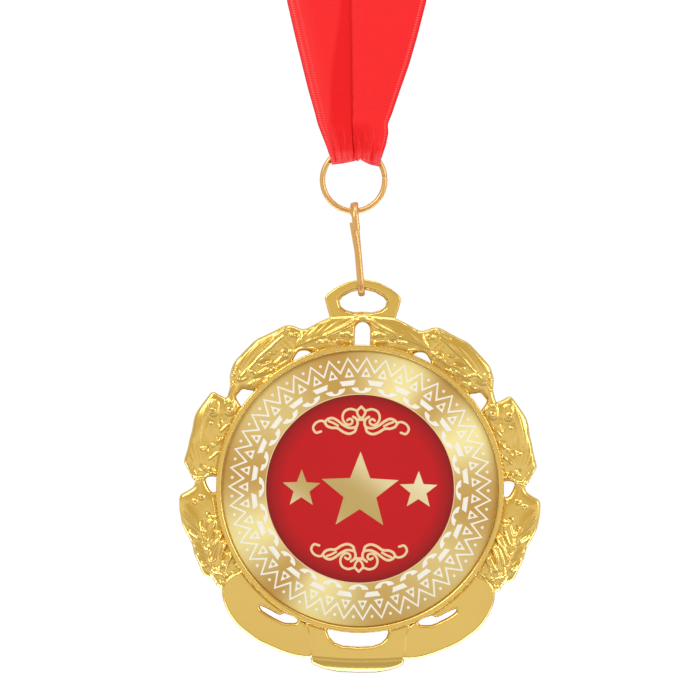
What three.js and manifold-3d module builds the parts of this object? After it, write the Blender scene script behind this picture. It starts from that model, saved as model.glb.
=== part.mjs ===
// An award medal on a red satin ribbon, modelled as it hangs.
// Millimetres. +Z is up, +X is to the right and the printed face looks towards -Y.
// The origin is the point under the ribbon's eye where a peg carries the medal.
import * as THREE from 'three';
import { mergeVertices } from 'three/addons/utils/BufferGeometryUtils.js';
import Module from 'manifold-3d';

const wasm = await Module();
wasm.setup();

// ---------------------------------------------------------------- driving dimensions
const RING_HEIGHT = -100;          // centre of the jump ring, below the peg
const RING_RADIUS = 5.55;          // to the middle of the ring's wire
const RING_WIRE = 1.0;
const RING_SEAM = 0.012;           // half angle of the cut in the ring, radians

const INSERT_BELOW_RING = 54.9;    // ring centre to the centre of the printed disc
const MEDAL_ASIDE = 2.0;           // the hooked medal rests this far right of the ring
const BACK = -0.95;                // flat back of the casting, from the medal's mid plane
const PLATE_FRONT = 0.95;          // front of the plain casting
const BEZEL_OUTER = 25.6;
const BEZEL_INNER = 24.6;
const BEZEL_FRONT = 1.9;
const RECESS_FLOOR = -0.1;
const FIT_GAP = 0.05;              // between the disc, its adhesive and the recess
const ADHESIVE_THICK = 0.25;
const INSERT_THICK = 0.8;
const INSERT_RADIUS = 24.45;
const BANNER_FRONT = 1.5;
const TAB_FRONT = 1.8;
const EDGE_ROUND = 0.3;

const LINK_TOP = 50.95;            // outer ends of the hook link, above the disc centre
const LINK_BOTTOM = 34.1;
const LINK_WIDE = 1.25;            // the link's wire is slightly flattened
const LINK_DEEP = 1.0;
const LINK_LEAN = -5.7 * Math.PI / 180;
const LINK_HALF_GAP = 2.0;         // wire middle to the link's own mid plane
const LINK_LAP = 1.15;             // the upper end lies this far in front of the lower end
const STUB_END = 45.8;             // cut end of the upper leg
const LOWER_END = 47.3;            // cut end of the lower leg, behind the stub

const RIBBON_WIDTH = 25.4;
const STRAP_THICK = 0.5;
const BIGHT_HALF_WIDTH = 4.0;      // the satin is gathered to this where it passes the ring
const BIGHT_BELOW = 2.25;          // middle of the bight's cloth, above the ring centre
const HANK_BOTTOM = 37.6;          // the folded ribbon, above the ring centre
const HANK_TOP = 87;
const HANK_FRONT = -1.2;
const HANK_BACK = 8.0;
const TOUCH_GAP = 0.3;
const BAND_THICK = 0.5;
const BAND_TALL = 9;
const BAND_MIDDLE = 62;            // above the ring centre

// ---------------------------------------------------------------- finishes
const goldPlate = new THREE.MeshStandardMaterial({ color: 0xd9b04a, roughness: 0.28, metalness: 1 });
const roseGoldWire = new THREE.MeshStandardMaterial({ color: 0xd9a45c, roughness: 0.25, metalness: 1 });
const printedMetal = new THREE.MeshStandardMaterial({ color: 0xb92834, roughness: 0.4, metalness: 0.6 });
const foamTape = new THREE.MeshStandardMaterial({ color: 0xf2f2ee, roughness: 0.9, metalness: 0 });
const redSatin = new THREE.MeshStandardMaterial({ color: 0xf0242f, roughness: 0.5, metalness: 0 });
const redThread = new THREE.MeshStandardMaterial({ color: 0xc81c26, roughness: 0.7, metalness: 0 });
const whitePaper = new THREE.MeshStandardMaterial({ color: 0xf4f1ea, roughness: 0.85, metalness: 0 });

// ---------------------------------------------------------------- solid helpers
function toSolid(geometry) {
  const bare = geometry.index ? geometry.clone() : geometry;
  bare.deleteAttribute('normal');
  bare.deleteAttribute('uv');
  const merged = mergeVertices(bare, 1e-4);
  const vertProperties = new Float32Array(merged.attributes.position.array);
  const triVerts = new Uint32Array(merged.index.array);
  return new wasm.Manifold(new wasm.Mesh({ numProp: 3, vertProperties, triVerts }));
}

function toGeometry(solid) {
  const mesh = solid.getMesh();
  const geometry = new THREE.BufferGeometry();
  geometry.setAttribute('position', new THREE.Float32BufferAttribute(mesh.vertProperties, 3));
  geometry.setIndex(Array.from(mesh.triVerts));
  geometry.computeVertexNormals();
  return geometry;
}

function joinAll(solids) {
  return solids.reduce((whole, piece) => whole.add(piece));
}

// A flat plate with the given outline, from one height to another.
function plate(shape, low, high, round = 0) {
  const geometry = new THREE.ExtrudeGeometry(shape, {
    depth: high - low - 2 * round,
    bevelEnabled: round > 0,
    bevelThickness: round,
    bevelSize: round,
    bevelOffset: -round,
    bevelSegments: 2,
    curveSegments: 10,
  });
  geometry.translate(0, 0, low + round);
  return toSolid(geometry);
}

function outline(points, mirror = 1) {
  return new THREE.Shape(points.map(([x, y]) => new THREE.Vector2(mirror * x, y)));
}

function smoothOutline(points, mirror = 1) {
  const corners = points.map(([x, y]) => new THREE.Vector3(mirror * x, y, 0));
  const curve = new THREE.CatmullRomCurve3(corners, true);
  return new THREE.Shape(curve.getPoints(3 * points.length).slice(0, -1)
    .map((point) => new THREE.Vector2(point.x, point.y)));
}

// A body given as closed rings of points, one after another, with flat ends.
function loft(rings) {
  const count = rings[0].length;
  const index = [];
  for (let ring = 0; ring + 1 < rings.length; ring += 1) {
    for (let side = 0; side < count; side += 1) {
      const next = (side + 1) % count;
      const a = ring * count + side;
      const b = ring * count + next;
      index.push(a, b, b + count, a, b + count, a + count);
    }
  }
  const last = (rings.length - 1) * count;
  for (let side = 1; side + 1 < count; side += 1) {
    index.push(0, side + 1, side);
    index.push(last, last + side, last + side + 1);
  }
  const geometry = new THREE.BufferGeometry();
  geometry.setAttribute('position', new THREE.Float32BufferAttribute(rings.flat(2), 3));
  geometry.setIndex(index);
  return geometry;
}

// ---------------------------------------------------------------- the cast wreath
// Bench frame of the medal: x right, y up, z towards the viewer, origin at the disc centre.
const EYELET = [[5.85, 30.3], [6.85, 33.8], [5.0, 35.6], [2.6, 36.85], [0, 37.3]];
const EYELET_SLOT = [[4.1, 33.5], [2.2, 34.9], [0, 35.42]];
const EYELET_SLOT_LOW = [[4.1, 32.7], [3.3, 31.75], [1.6, 31.35], [0, 31.5]];

// Right half of the wreath's outer edge, from the eyelet's foot down to the banner.
const WREATH_EDGE = [
  [5.8, 30.4], [7.6, 29.6], [9.2, 28.7], [10.3, 28.2], [11.2, 28.4], [12.3, 28.8],
  [13.3, 28.9], [14.4, 28.6], [17.4, 27.0], [20.1, 25.0], [22.5, 22.4], [23.4, 20.2],
  [23.5, 17.8], [24.0, 15.8], [25.5, 16.4], [26.6, 16.8], [28.4, 14.5], [29.7, 11.9],
  [30.4, 8.6], [31.4, 4.5], [30.7, 3.0], [29.3, 0.9], [29.6, -0.1], [31.0, -1.0],
  [32.0, -1.7], [32.15, -3.3], [31.4, -7.0], [30.2, -9.4], [29.4, -11.9], [28.4, -14.0],
  [27.4, -15.8], [25.6, -16.9], [25.0, -17.9],
];
const HALF_MOON = [[11.9, 22.8], [11.7, 23.8], [11.0, 24.3], [10.0, 24.35], [9.1, 24.0], [8.7, 23.4]];
const CORNER_WINDOW = [[21.1, 14.2], [22.3, 15.9], [21.2, 17.4], [19.2, 17.1], [18.6, 16.6]];
const TEAR_DROP = [[27.4, 1.2], [26.6, 1.75], [25.4, 1.6], [25.4, -0.6], [26.2, -1.1], [27.1, 0]];

const BANNER = [
  [20.7, -14.9], [21.8, -15.0], [23.1, -15.9], [24.2, -17.4], [24.3, -19.2], [23.5, -21.5],
  [21.6, -24.4], [18.2, -27.1], [15.0, -28.7], [11.5, -29.8], [8.7, -30.1], [8.7, -25.4],
  [9.4, -24.3], [11.2, -24.3], [13.8, -24.1], [17.8, -21.6], [18.9, -20.0], [19.0, -17.6],
];
const LOWER_SLOT = [
  [17.4, -21.1], [15.6, -21.9], [13.9, -22.6], [13.1, -22.4], [11.9, -22.8], [10.8, -23.5],
  [11.2, -24.0], [12.9, -24.1], [14.1, -23.6], [16.3, -22.5],
];
const TAB = [
  [8.3, -24.4], [8.7, -26.2], [8.4, -28.8], [8.0, -31.2], [5.8, -32.2], [3.0, -32.7], [0, -32.8],
];
const TAB_WINDOW = [
  [5.2, -25.3], [5.4, -25.7], [4.7, -26.7], [3.6, -27.6], [1.9, -28.0], [0, -28.1],
];

// Leaves: where each starts and ends, how far its spine bows, half its width, its rise.
const LEAVES = [
  { from: [10.8, 25.6], to: [0.9, 30.9], bow: 0.3, half: 2.3, rise: 1.0 },
  { from: [8.6, 25.4], to: [1.6, 28.4], bow: 0.0, half: 1.0, rise: 0.6 },
  { from: [13.3, 28.0], to: [23.3, 18.6], bow: -1.6, half: 2.4, rise: 1.1 },
  { from: [14.0, 24.6], to: [22.0, 18.9], bow: -0.6, half: 1.5, rise: 0.8 },
  { from: [29.8, 2.6], to: [26.7, 16.5], bow: -0.8, half: 2.0, rise: 1.1 },
  { from: [27.0, 2.8], to: [24.2, 15.4], bow: -0.8, half: 1.4, rise: 0.9 },
  { from: [26.0, -15.6], to: [31.6, -2.0], bow: -1.3, half: 2.0, rise: 1.1 },
  { from: [25.2, -14.6], to: [28.0, -1.6], bow: -1.1, half: 1.3, rise: 0.9 },
];
const LEAF_STATIONS = 9;
const BERRIES = [
  [12.0, 27.4, 0.75], [13.6, 24.0, 0.65], [27.3, 13.7, 0.6], [24.0, 13.8, 0.6],
  [27.0, 2.0, 0.7], [28.3, -1.5, 0.6], [26.7, -5.0, 0.6], [25.2, -16.6, 0.75],
];
const TAB_BEADS = [[6.9, -24.8, 0.55]];

// A closed symmetric outline from the points of its right half.
function mirrored(half) {
  const left = half.filter(([x]) => x > 0).map(([x, y]) => [-x, y]).reverse();
  return [...half, ...left];
}

function leafSolid({ from, to, bow, half, rise }, mirror) {
  const spine = new THREE.QuadraticBezierCurve(
    new THREE.Vector2(...from),
    new THREE.Vector2((from[0] + to[0]) / 2 - bow * (to[1] - from[1]) / 10,
      (from[1] + to[1]) / 2 + bow * (to[0] - from[0]) / 10),
    new THREE.Vector2(...to),
  );
  const rings = [];
  for (let step = 0; step <= LEAF_STATIONS; step += 1) {
    const along = step / LEAF_STATIONS;
    const middle = spine.getPoint(along);
    const ahead = spine.getTangent(along);
    const reach = half * (0.12 + 0.88 * Math.sin(Math.PI * Math.pow(along, 0.85)));
    const crest = PLATE_FRONT + rise * (0.35 + 0.65 * Math.sin(Math.PI * along));
    const left = [middle.x - ahead.y * reach, middle.y + ahead.x * reach, PLATE_FRONT];
    const right = [middle.x + ahead.y * reach, middle.y - ahead.x * reach, PLATE_FRONT];
    const ridge = [middle.x, middle.y, crest];
    const keel = [middle.x, middle.y, 0];
    const ring = [ridge, left, keel, right].map(([x, y, z]) => [mirror * x, y, z]);
    rings.push(mirror > 0 ? ring.reverse() : ring);
  }
  return toSolid(loft(rings));
}

function bead([x, y, radius], mirror) {
  const ball = new THREE.SphereGeometry(radius, 10, 6);
  ball.translate(mirror * x, y, PLATE_FRONT + 0.25 * radius);
  return toSolid(ball);
}

function bezelDisc() {
  const profile = [
    [0, BACK], [BEZEL_OUTER - EDGE_ROUND, BACK], [BEZEL_OUTER, BACK + EDGE_ROUND],
    [BEZEL_OUTER, BEZEL_FRONT - EDGE_ROUND], [BEZEL_OUTER - EDGE_ROUND, BEZEL_FRONT], [0, BEZEL_FRONT],
  ];
  const disc = new THREE.LatheGeometry(profile.map(([r, z]) => new THREE.Vector2(r, z)), 96);
  disc.rotateX(Math.PI / 2);
  return toSolid(disc);
}

function roundCutter(radius, low, high, segments) {
  const cutter = new THREE.CylinderGeometry(radius, radius, high - low, segments);
  cutter.rotateX(Math.PI / 2);
  cutter.translate(0, 0, (low + high) / 2);
  return toSolid(cutter);
}

function wreathHalf(mirror) {
  const inner = [];
  for (let step = 0; step <= 12; step += 1) {
    const turn = -0.62 + step * (Math.PI / 2 + 0.62) / 12;
    inner.push([(BEZEL_OUTER - 1) * Math.cos(turn), (BEZEL_OUTER - 1) * Math.sin(turn)]);
  }
  const edge = [[-0.5, 30.9], ...WREATH_EDGE, ...inner, [-0.5, BEZEL_OUTER - 1]];
  const through = [BACK - 1, BANNER_FRONT + 2];
  let body = plate(outline(edge, mirror), BACK, PLATE_FRONT);
  for (const window of [HALF_MOON, CORNER_WINDOW, TEAR_DROP]) {
    body = body.subtract(plate(smoothOutline(window, mirror), ...through));
  }
  const leaves = LEAVES.map((leaf) => leafSolid(leaf, mirror));
  const berries = [...BERRIES, ...TAB_BEADS].map((berry) => bead(berry, mirror));
  let banner = plate(smoothOutline(BANNER, mirror), BACK, BANNER_FRONT, EDGE_ROUND);
  banner = banner.subtract(plate(smoothOutline(LOWER_SLOT, mirror), ...through));
  return joinAll([body, ...leaves, banner, ...berries]);
}

function eyeletSolid() {
  const foot = [[5.0, 29.6], ...EYELET];
  const body = plate(outline(mirrored(foot)), BACK, PLATE_FRONT, EDGE_ROUND);
  const slot = mirrored([...EYELET_SLOT_LOW.slice().reverse(), ...EYELET_SLOT]);
  // The slot's rim is eased so that the link's bend runs over it without a sharp edge.
  const cutter = plate(outline(slot), BACK - 1, PLATE_FRONT + 1);
  const eased = (turn) => {
    const funnel = new THREE.ExtrudeGeometry(outline(slot), {
      depth: 0.2, bevelEnabled: true, bevelThickness: 0.8, bevelSize: 0.8, bevelOffset: 0, bevelSegments: 1,
    });
    funnel.translate(0, 0, -0.1);
    funnel.translate(0, 0, turn * (PLATE_FRONT + 0.4));
    return toSolid(funnel);
  };
  return body.subtract(cutter).subtract(eased(1)).subtract(eased(-1));
}

function tabSolid() {
  const face = plate(outline(mirrored(TAB)), BACK, TAB_FRONT, EDGE_ROUND);
  const window = plate(outline(mirrored(TAB_WINDOW)), BACK - 1, TAB_FRONT + 1);
  return face.subtract(window);
}

function wreathFrame() {
  const topSlot = new THREE.Shape();
  topSlot.moveTo(-1.25, 25);
  topSlot.lineTo(1.25, 25);
  topSlot.lineTo(1.25, 28.3);
  topSlot.absarc(0, 28.3, 1.25, 0, Math.PI, false);
  topSlot.lineTo(-1.25, 25);
  let ornaments = joinAll([wreathHalf(1), wreathHalf(-1), eyeletSolid(), tabSolid()]);
  ornaments = ornaments.subtract(plate(topSlot, BACK - 1, BEZEL_FRONT + 1));
  const whole = ornaments.add(bezelDisc());
  return toGeometry(whole.subtract(roundCutter(BEZEL_INNER, RECESS_FLOOR, BEZEL_FRONT + 2, 96)));
}

function flatDisc(radius, low, thick) {
  const disc = new THREE.CylinderGeometry(radius, radius, thick, 96);
  disc.rotateX(Math.PI / 2);
  disc.translate(0, 0, low + thick / 2);
  return disc;
}

// ---------------------------------------------------------------- ring and hook link
function wireSection(wide, deep, sides) {
  const section = new THREE.Shape();
  for (let side = 0; side < sides; side += 1) {
    const turn = (2 * Math.PI * side) / sides;
    const x = (deep / 2) * Math.cos(turn);
    const y = (wide / 2) * Math.sin(turn);
    if (side === 0) section.moveTo(x, y);
    else section.lineTo(x, y);
  }
  section.closePath();
  return section;
}

// The ring's middle line in the x-z plane, cut at its right-hand side.
class RingLine extends THREE.Curve {
  getPoint(along, target = new THREE.Vector3()) {
    const turn = RING_SEAM + along * 2 * (Math.PI - RING_SEAM);
    return target.set(RING_RADIUS * Math.cos(turn), 0, RING_RADIUS * Math.sin(turn));
  }
}

function jumpRing() {
  return new THREE.ExtrudeGeometry(wireSection(RING_WIRE, RING_WIRE, 12), {
    steps: 64, extrudePath: new RingLine(), bevelEnabled: false,
  });
}

// The hook link is one wire: a stub in front, over the top, down the back, under the
// eyelet's bar and up the front until it ends behind the stub.
function hookLink() {
  const deep = LINK_DEEP / 2;
  const front = -LINK_HALF_GAP;
  const back = LINK_HALF_GAP;
  const stub = front - LINK_LAP;
  const topRadius = (back - stub) / 2;
  const topMiddle = (back + stub) / 2;
  const topHeight = LINK_TOP - deep - topRadius;
  const lowHeight = LINK_BOTTOM + deep + back;
  const path = new THREE.CurvePath();
  const line = (from, to) => path.add(new THREE.LineCurve3(new THREE.Vector3(...from), new THREE.Vector3(...to)));
  const bend = (y, z, radius, start, end) => {
    const points = [];
    for (let step = 0; step <= 8; step += 1) {
      const turn = start + (end - start) * step / 8;
      points.push(new THREE.Vector3(0, y + radius * Math.cos(turn), z + radius * Math.sin(turn)));
    }
    for (let step = 0; step < 8; step += 1) path.add(new THREE.LineCurve3(points[step], points[step + 1]));
  };
  line([0, stub, STUB_END], [0, stub, topHeight]);
  bend(topMiddle, topHeight, topRadius, Math.PI, 0);
  line([0, back, topHeight], [0, back, lowHeight]);
  bend(0, lowHeight, back, 0, -Math.PI);
  line([0, front, lowHeight], [0, front, LOWER_END]);
  return sweepInPlane(path, LINK_WIDE, LINK_DEEP);
}

// Sweeps a flattened round wire along a path that stays in the y-z plane.
function sweepInPlane(path, wide, deep) {
  const corners = [path.curves[0].v1, ...path.curves.map((piece) => piece.v2)];
  const sides = 12;
  const rings = corners.map((corner, index) => {
    const before = corners[Math.max(index - 1, 0)];
    const after = corners[Math.min(index + 1, corners.length - 1)];
    const ahead = after.clone().sub(before).normalize();
    const outward = new THREE.Vector3(0, ahead.z, -ahead.y);
    const ring = [];
    for (let side = 0; side < sides; side += 1) {
      const turn = (2 * Math.PI * side) / sides;
      const across = (wide / 2) * Math.cos(turn);
      const out = (deep / 2) * Math.sin(turn);
      ring.push([corner.x + across, corner.y + outward.y * out, corner.z + outward.z * out]);
    }
    return ring;
  });
  return loft(rings);
}

// ---------------------------------------------------------------- ribbon
// A strap of cloth along stations of [y, z, half width].
function strap(stations, thick) {
  const rings = stations.map(([y, z, half], index) => {
    const before = stations[Math.max(index - 1, 0)];
    const after = stations[Math.min(index + 1, stations.length - 1)];
    const length = Math.hypot(after[0] - before[0], after[1] - before[1]);
    const ny = -(after[1] - before[1]) / length * thick / 2;
    const nz = (after[0] - before[0]) / length * thick / 2;
    return [
      [-half, y + ny, z + nz], [half, y + ny, z + nz],
      [half, y - ny, z - nz], [-half, y - ny, z - nz],
    ];
  });
  return loft(rings);
}

// Front strap down to the ring, the gathered bight under the ring's top, back strap up.
function ribbonDrop() {
  const full = RIBBON_WIDTH / 2;
  const front = [
    [-0.55, HANK_BOTTOM - TOUCH_GAP, full], [-0.6, 33, full], [-0.8, 24, 10.2],
    [-1.3, 12, 6.8], [-1.65, 8.5, 5.9], [-1.65, 4, BIGHT_HALF_WIDTH], [-1.5, 3.0, BIGHT_HALF_WIDTH],
  ];
  const bight = [[-0.9, BIGHT_BELOW, BIGHT_HALF_WIDTH], [0.9, BIGHT_BELOW, BIGHT_HALF_WIDTH]];
  const rear = front.map(([y, z, half]) => [-y, z, half]).reverse();
  return strap([...front, ...bight, ...rear], STRAP_THICK);
}

function ribbonHank() {
  const round = 0.8;
  const deep = HANK_BACK - HANK_FRONT;
  const tall = HANK_TOP - HANK_BOTTOM;
  const side = new THREE.Shape();
  side.moveTo(round, 0);
  side.lineTo(deep - round, 0);
  side.absarc(deep - round, round, round, -Math.PI / 2, 0, false);
  side.lineTo(deep, tall - round);
  side.absarc(deep - round, tall - round, round, 0, Math.PI / 2, false);
  side.lineTo(round, tall);
  side.absarc(round, tall - round, round, Math.PI / 2, Math.PI, false);
  side.lineTo(0, round);
  side.absarc(round, round, round, Math.PI, 1.5 * Math.PI, false);
  const hank = new THREE.ExtrudeGeometry(side, { depth: RIBBON_WIDTH, bevelEnabled: false, curveSegments: 4 });
  hank.translate(0, 0, -RIBBON_WIDTH / 2);
  // The profile's x becomes depth (y), its y becomes height (z), its z becomes width (x).
  const turn = new THREE.Matrix4().makeBasis(
    new THREE.Vector3(0, 1, 0), new THREE.Vector3(0, 0, 1), new THREE.Vector3(1, 0, 0),
  );
  hank.applyMatrix4(turn);
  hank.translate(0, HANK_FRONT, HANK_BOTTOM);
  return hank;
}

// The neck end of the loop, left standing above the hank as an eye for a peg.
function ribbonEye() {
  const half = RIBBON_WIDTH / 2;
  const route = [
    [6.4, 0.6], [3.6, 1.9], [0, 3.2], [-3.2, 4.7], [-4.8, 6.6], [-5.1, 8.6], [-4.0, 11.0],
    [-1.9, 12.5], [0, 12.75 + STRAP_THICK / 2], [2.2, 12.5], [4.3, 10.9], [5.6, 8.2], [6.6, 4.6],
    [7.4, 0.6],
  ];
  return strap(route.map(([y, z]) => [y, HANK_TOP + z, half]), STRAP_THICK);
}

function seamStitching() {
  const bar = new THREE.BoxGeometry(RIBBON_WIDTH - 3, 0.3, 1.2);
  bar.translate(0, -5.1 - STRAP_THICK / 2 - TOUCH_GAP - 0.15, HANK_TOP + 8.4);
  return bar;
}

function tieBand() {
  const inX = RIBBON_WIDTH / 2 + TOUCH_GAP;
  const inFront = HANK_FRONT - TOUCH_GAP;
  const inBack = HANK_BACK + TOUCH_GAP;
  const around = new THREE.Shape([
    new THREE.Vector2(-inX - BAND_THICK, inFront - BAND_THICK),
    new THREE.Vector2(inX + BAND_THICK, inFront - BAND_THICK),
    new THREE.Vector2(inX + BAND_THICK, inBack + BAND_THICK),
    new THREE.Vector2(-inX - BAND_THICK, inBack + BAND_THICK),
  ]);
  around.holes.push(new THREE.Path([
    new THREE.Vector2(-inX, inFront), new THREE.Vector2(-inX, inBack),
    new THREE.Vector2(inX, inBack), new THREE.Vector2(inX, inFront),
  ]));
  const band = new THREE.ExtrudeGeometry(around, { depth: BAND_TALL, bevelEnabled: false });
  band.translate(0, 0, BAND_MIDDLE - BAND_TALL / 2);
  return band;
}

// ---------------------------------------------------------------- assembly
function named(name, geometry, material) {
  const mesh = new THREE.Mesh(geometry, material);
  mesh.name = name;
  return mesh;
}

const ribbon = new THREE.Group();
ribbon.position.z = RING_HEIGHT;
ribbon.add(
  named('ribbon_drop', ribbonDrop(), redSatin),
  named('ribbon_hank', ribbonHank(), redSatin),
  named('ribbon_eye', ribbonEye(), redSatin),
  named('seam_stitching', seamStitching(), redThread),
  named('tie_band', tieBand(), whitePaper),
);

const ring = new THREE.Group();
ring.position.z = RING_HEIGHT;
ring.add(named('jump_ring', jumpRing(), roseGoldWire));

// The link leans from the ring towards the middle of the eyelet.
const link = new THREE.Group();
link.position.set(0.1, 0, RING_HEIGHT - INSERT_BELOW_RING + LINK_TOP);
link.rotation.y = LINK_LEAN;
const linkMesh = named('hook_link', hookLink(), roseGoldWire);
linkMesh.position.z = -LINK_TOP;
link.add(linkMesh);

// The medal is built face up and stood on its edge.
const medal = new THREE.Group();
medal.position.set(MEDAL_ASIDE, 0, RING_HEIGHT - INSERT_BELOW_RING);
medal.rotation.x = Math.PI / 2;
medal.add(
  named('wreath_frame', wreathFrame(), goldPlate),
  named('adhesive_disc', flatDisc(INSERT_RADIUS - 1.5, RECESS_FLOOR + FIT_GAP, ADHESIVE_THICK), foamTape),
  named('insert_plate',
    flatDisc(INSERT_RADIUS, RECESS_FLOOR + 2 * FIT_GAP + ADHESIVE_THICK, INSERT_THICK), printedMetal),
);

const group = new THREE.Group();
group.add(ribbon, ring, link, medal);
export default group;
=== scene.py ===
"""An award medal on a red satin ribbon: a wreath casting, a printed disc, a hook link and a split ring."""
import math

import bpy
import numpy as np
from mathutils import Matrix, Vector
from mathutils.geometry import tessellate_polygon


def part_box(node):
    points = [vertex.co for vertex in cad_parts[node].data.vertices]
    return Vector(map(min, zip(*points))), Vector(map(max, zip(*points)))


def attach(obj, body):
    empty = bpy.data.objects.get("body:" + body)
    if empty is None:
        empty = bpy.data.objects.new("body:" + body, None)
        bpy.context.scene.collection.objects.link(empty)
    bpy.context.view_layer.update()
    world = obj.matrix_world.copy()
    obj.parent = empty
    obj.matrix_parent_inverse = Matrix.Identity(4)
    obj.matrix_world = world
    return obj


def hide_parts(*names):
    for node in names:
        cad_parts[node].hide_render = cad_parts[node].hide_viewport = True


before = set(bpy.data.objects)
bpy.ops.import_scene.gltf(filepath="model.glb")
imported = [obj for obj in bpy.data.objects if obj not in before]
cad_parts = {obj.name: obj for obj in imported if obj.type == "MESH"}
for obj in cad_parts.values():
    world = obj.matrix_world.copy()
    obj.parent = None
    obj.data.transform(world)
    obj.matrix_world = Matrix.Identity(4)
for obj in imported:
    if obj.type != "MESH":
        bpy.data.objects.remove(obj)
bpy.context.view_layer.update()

# ------------------------------------------------------------------ measures, in millimetres
MM = 0.001


def middle_mm(node):
    """The middle of a node's box, in millimetres."""
    low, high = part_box(node)
    return (low + high) / 2 / MM


DISC_MIDDLE = middle_mm("insert_plate")
RING_MIDDLE = middle_mm("jump_ring")

CAMERA_TARGET = Vector((-0.167, 0, -130.28))
CAMERA_DISTANCE = 700.0
CAMERA_VIEW_WIDTH = 124.6
CAMERA_ROLL = math.radians(0.9)
SENSOR_WIDTH = 36.0

RIBBON_WIDTH = 25.4
RIB_PITCH = 0.40
WARP_PITCH = 0.31
HEM = 0.3
SELVAGE_IN = 0.8
SECOND_ROW_IN = 1.8
SELVAGE_HALF = 0.3
SELVAGE_PITCH = 0.45
DASHES_REACH = 4.5


# ------------------------------------------------------------------ mesh helpers
def new_object(name, points_mm, faces, material, smooth=True, crease=None):
    """A mesh object from points in millimetres, in the object's own frame."""
    mesh = bpy.data.meshes.new(name)
    mesh.from_pydata((np.asarray(points_mm, float) * MM).tolist(), [], [list(map(int, f)) for f in faces])
    mesh.polygons.foreach_set("use_smooth", [smooth] * len(mesh.polygons))
    mesh.materials.append(material)
    mesh.validate()
    mesh.update()
    if crease is not None:
        mesh.set_sharp_from_angle(angle=math.radians(crease))
    piece = bpy.data.objects.new(name, mesh)
    bpy.context.scene.collection.objects.link(piece)
    return piece


def on_bench(points):
    """Points laid out on a bench (x right, y up, z towards the viewer), stood up where the medal hangs."""
    points = np.asarray(points, float)
    return np.stack([
        points[:, 0] + DISC_MIDDLE.x,
        -points[:, 2],
        points[:, 1] + DISC_MIDDLE.z,
    ], axis=1)


def above_ring(points):
    """Points measured from the middle of the split ring, in the object's frame."""
    return np.asarray(points, float) + np.array([0.0, 0.0, RING_MIDDLE.z])


class Shell:
    """Collects points and faces of one piece."""

    def __init__(self):
        self.points = []
        self.faces = []

    def add(self, points, faces):
        first = len(self.points)
        self.points.extend([tuple(p) for p in points])
        self.faces.extend([[first + i for i in face] for face in faces])


def pairs_round(loop):
    """Each item of a closed loop with the one after it."""
    return zip(loop, loop[1:] + loop[:1])


def circle_angles(sides):
    """Equal angles round a full turn."""
    return [2 * math.pi * side / sides for side in range(sides)]


def tube_faces(rings, sides, closed=False):
    """Faces between rings of equal size, with flat caps unless the tube closes on itself."""
    faces = []
    spans = rings if closed else rings - 1
    for ring in range(spans):
        following = (ring + 1) % rings
        for side in range(sides):
            beside = (side + 1) % sides
            faces.append([
                ring * sides + side, ring * sides + beside,
                following * sides + beside, following * sides + side,
            ])
    if not closed:
        faces.append(list(range(sides))[::-1])
        faces.append([(rings - 1) * sides + side for side in range(sides)])
    return faces


def smooth_loop(points, steps=6):
    """A closed outline rounded through its points."""
    points = np.asarray(points, float)
    before, after = np.roll(points, 1, axis=0), np.roll(points, -1, axis=0)
    beyond = np.roll(points, -2, axis=0)
    rounded = []
    for t in np.arange(steps) / steps:
        rounded.append(0.5 * (2 * points + (after - before) * t
                              + (2 * before - 5 * points + 4 * after - beyond) * t ** 2
                              + (3 * points - before - 3 * after + beyond) * t ** 3))
    return np.stack(rounded, axis=1).reshape(-1, 2)


def smooth_line(points, steps=6):
    """An open line rounded through its points."""
    points = np.asarray(points, float)
    padded = np.vstack([2 * points[0] - points[1], points, 2 * points[-1] - points[-2]])
    line = []
    for a, b, c, d in zip(padded, padded[1:], padded[2:], padded[3:]):
        for t in np.arange(steps) / steps:
            line.append(0.5 * (2 * b + (c - a) * t + (2 * a - 5 * b + 4 * c - d) * t ** 2
                               + (3 * b - a - 3 * c + d) * t ** 3))
    line.append(points[-1])
    return np.array(line)


def length_along(line):
    """The length from a flat line's start to each of its points."""
    return np.concatenate([[0], np.cumsum(np.hypot(*np.diff(line, axis=0).T))])


def inside_outline(outline, px, py):
    """How far each point is inside a closed outline; negative outside it."""
    outline = np.asarray(outline, float)
    nearest = np.full(px.shape, 1e9)
    inside = np.zeros(px.shape, bool)
    for (ax, ay), (bx, by) in zip(outline, np.roll(outline, -1, axis=0)):
        ex, ey = bx - ax, by - ay
        span = max(ex * ex + ey * ey, 1e-12)
        t = np.clip(((px - ax) * ex + (py - ay) * ey) / span, 0, 1)
        nearest = np.minimum(nearest, (px - ax - t * ex) ** 2 + (py - ay - t * ey) ** 2)
        if by != ay:
            crosses = ((ay <= py) != (by <= py)) & (px < ax + (py - ay) * ex / ey)
            inside ^= crosses
    return np.where(inside, 1.0, -1.0) * np.sqrt(nearest)


def along_line(line, px, py):
    """The nearest place on a line, as a share of its length, and how far left of the line each point is."""
    line = np.asarray(line, float)
    starts = length_along(line)
    nearest = np.full(px.shape, 1e9)
    share = np.zeros(px.shape)
    aside = np.zeros(px.shape)
    for (ax, ay), (bx, by), start, end in zip(line, line[1:], starts, starts[1:]):
        length = math.hypot(bx - ax, by - ay)
        ex, ey = (bx - ax) / length, (by - ay) / length
        t = np.clip((px - ax) * ex + (py - ay) * ey, 0, length)
        gap = (px - ax - t * ex) ** 2 + (py - ay - t * ey) ** 2
        closer = gap < nearest
        nearest = np.where(closer, gap, nearest)
        share = np.where(closer, (start + t) / starts[-1], share)
        aside = np.where(closer, np.sign(ex * (py - ay) - ey * (px - ax)) * np.sqrt(gap), aside)
    return share, aside


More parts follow.
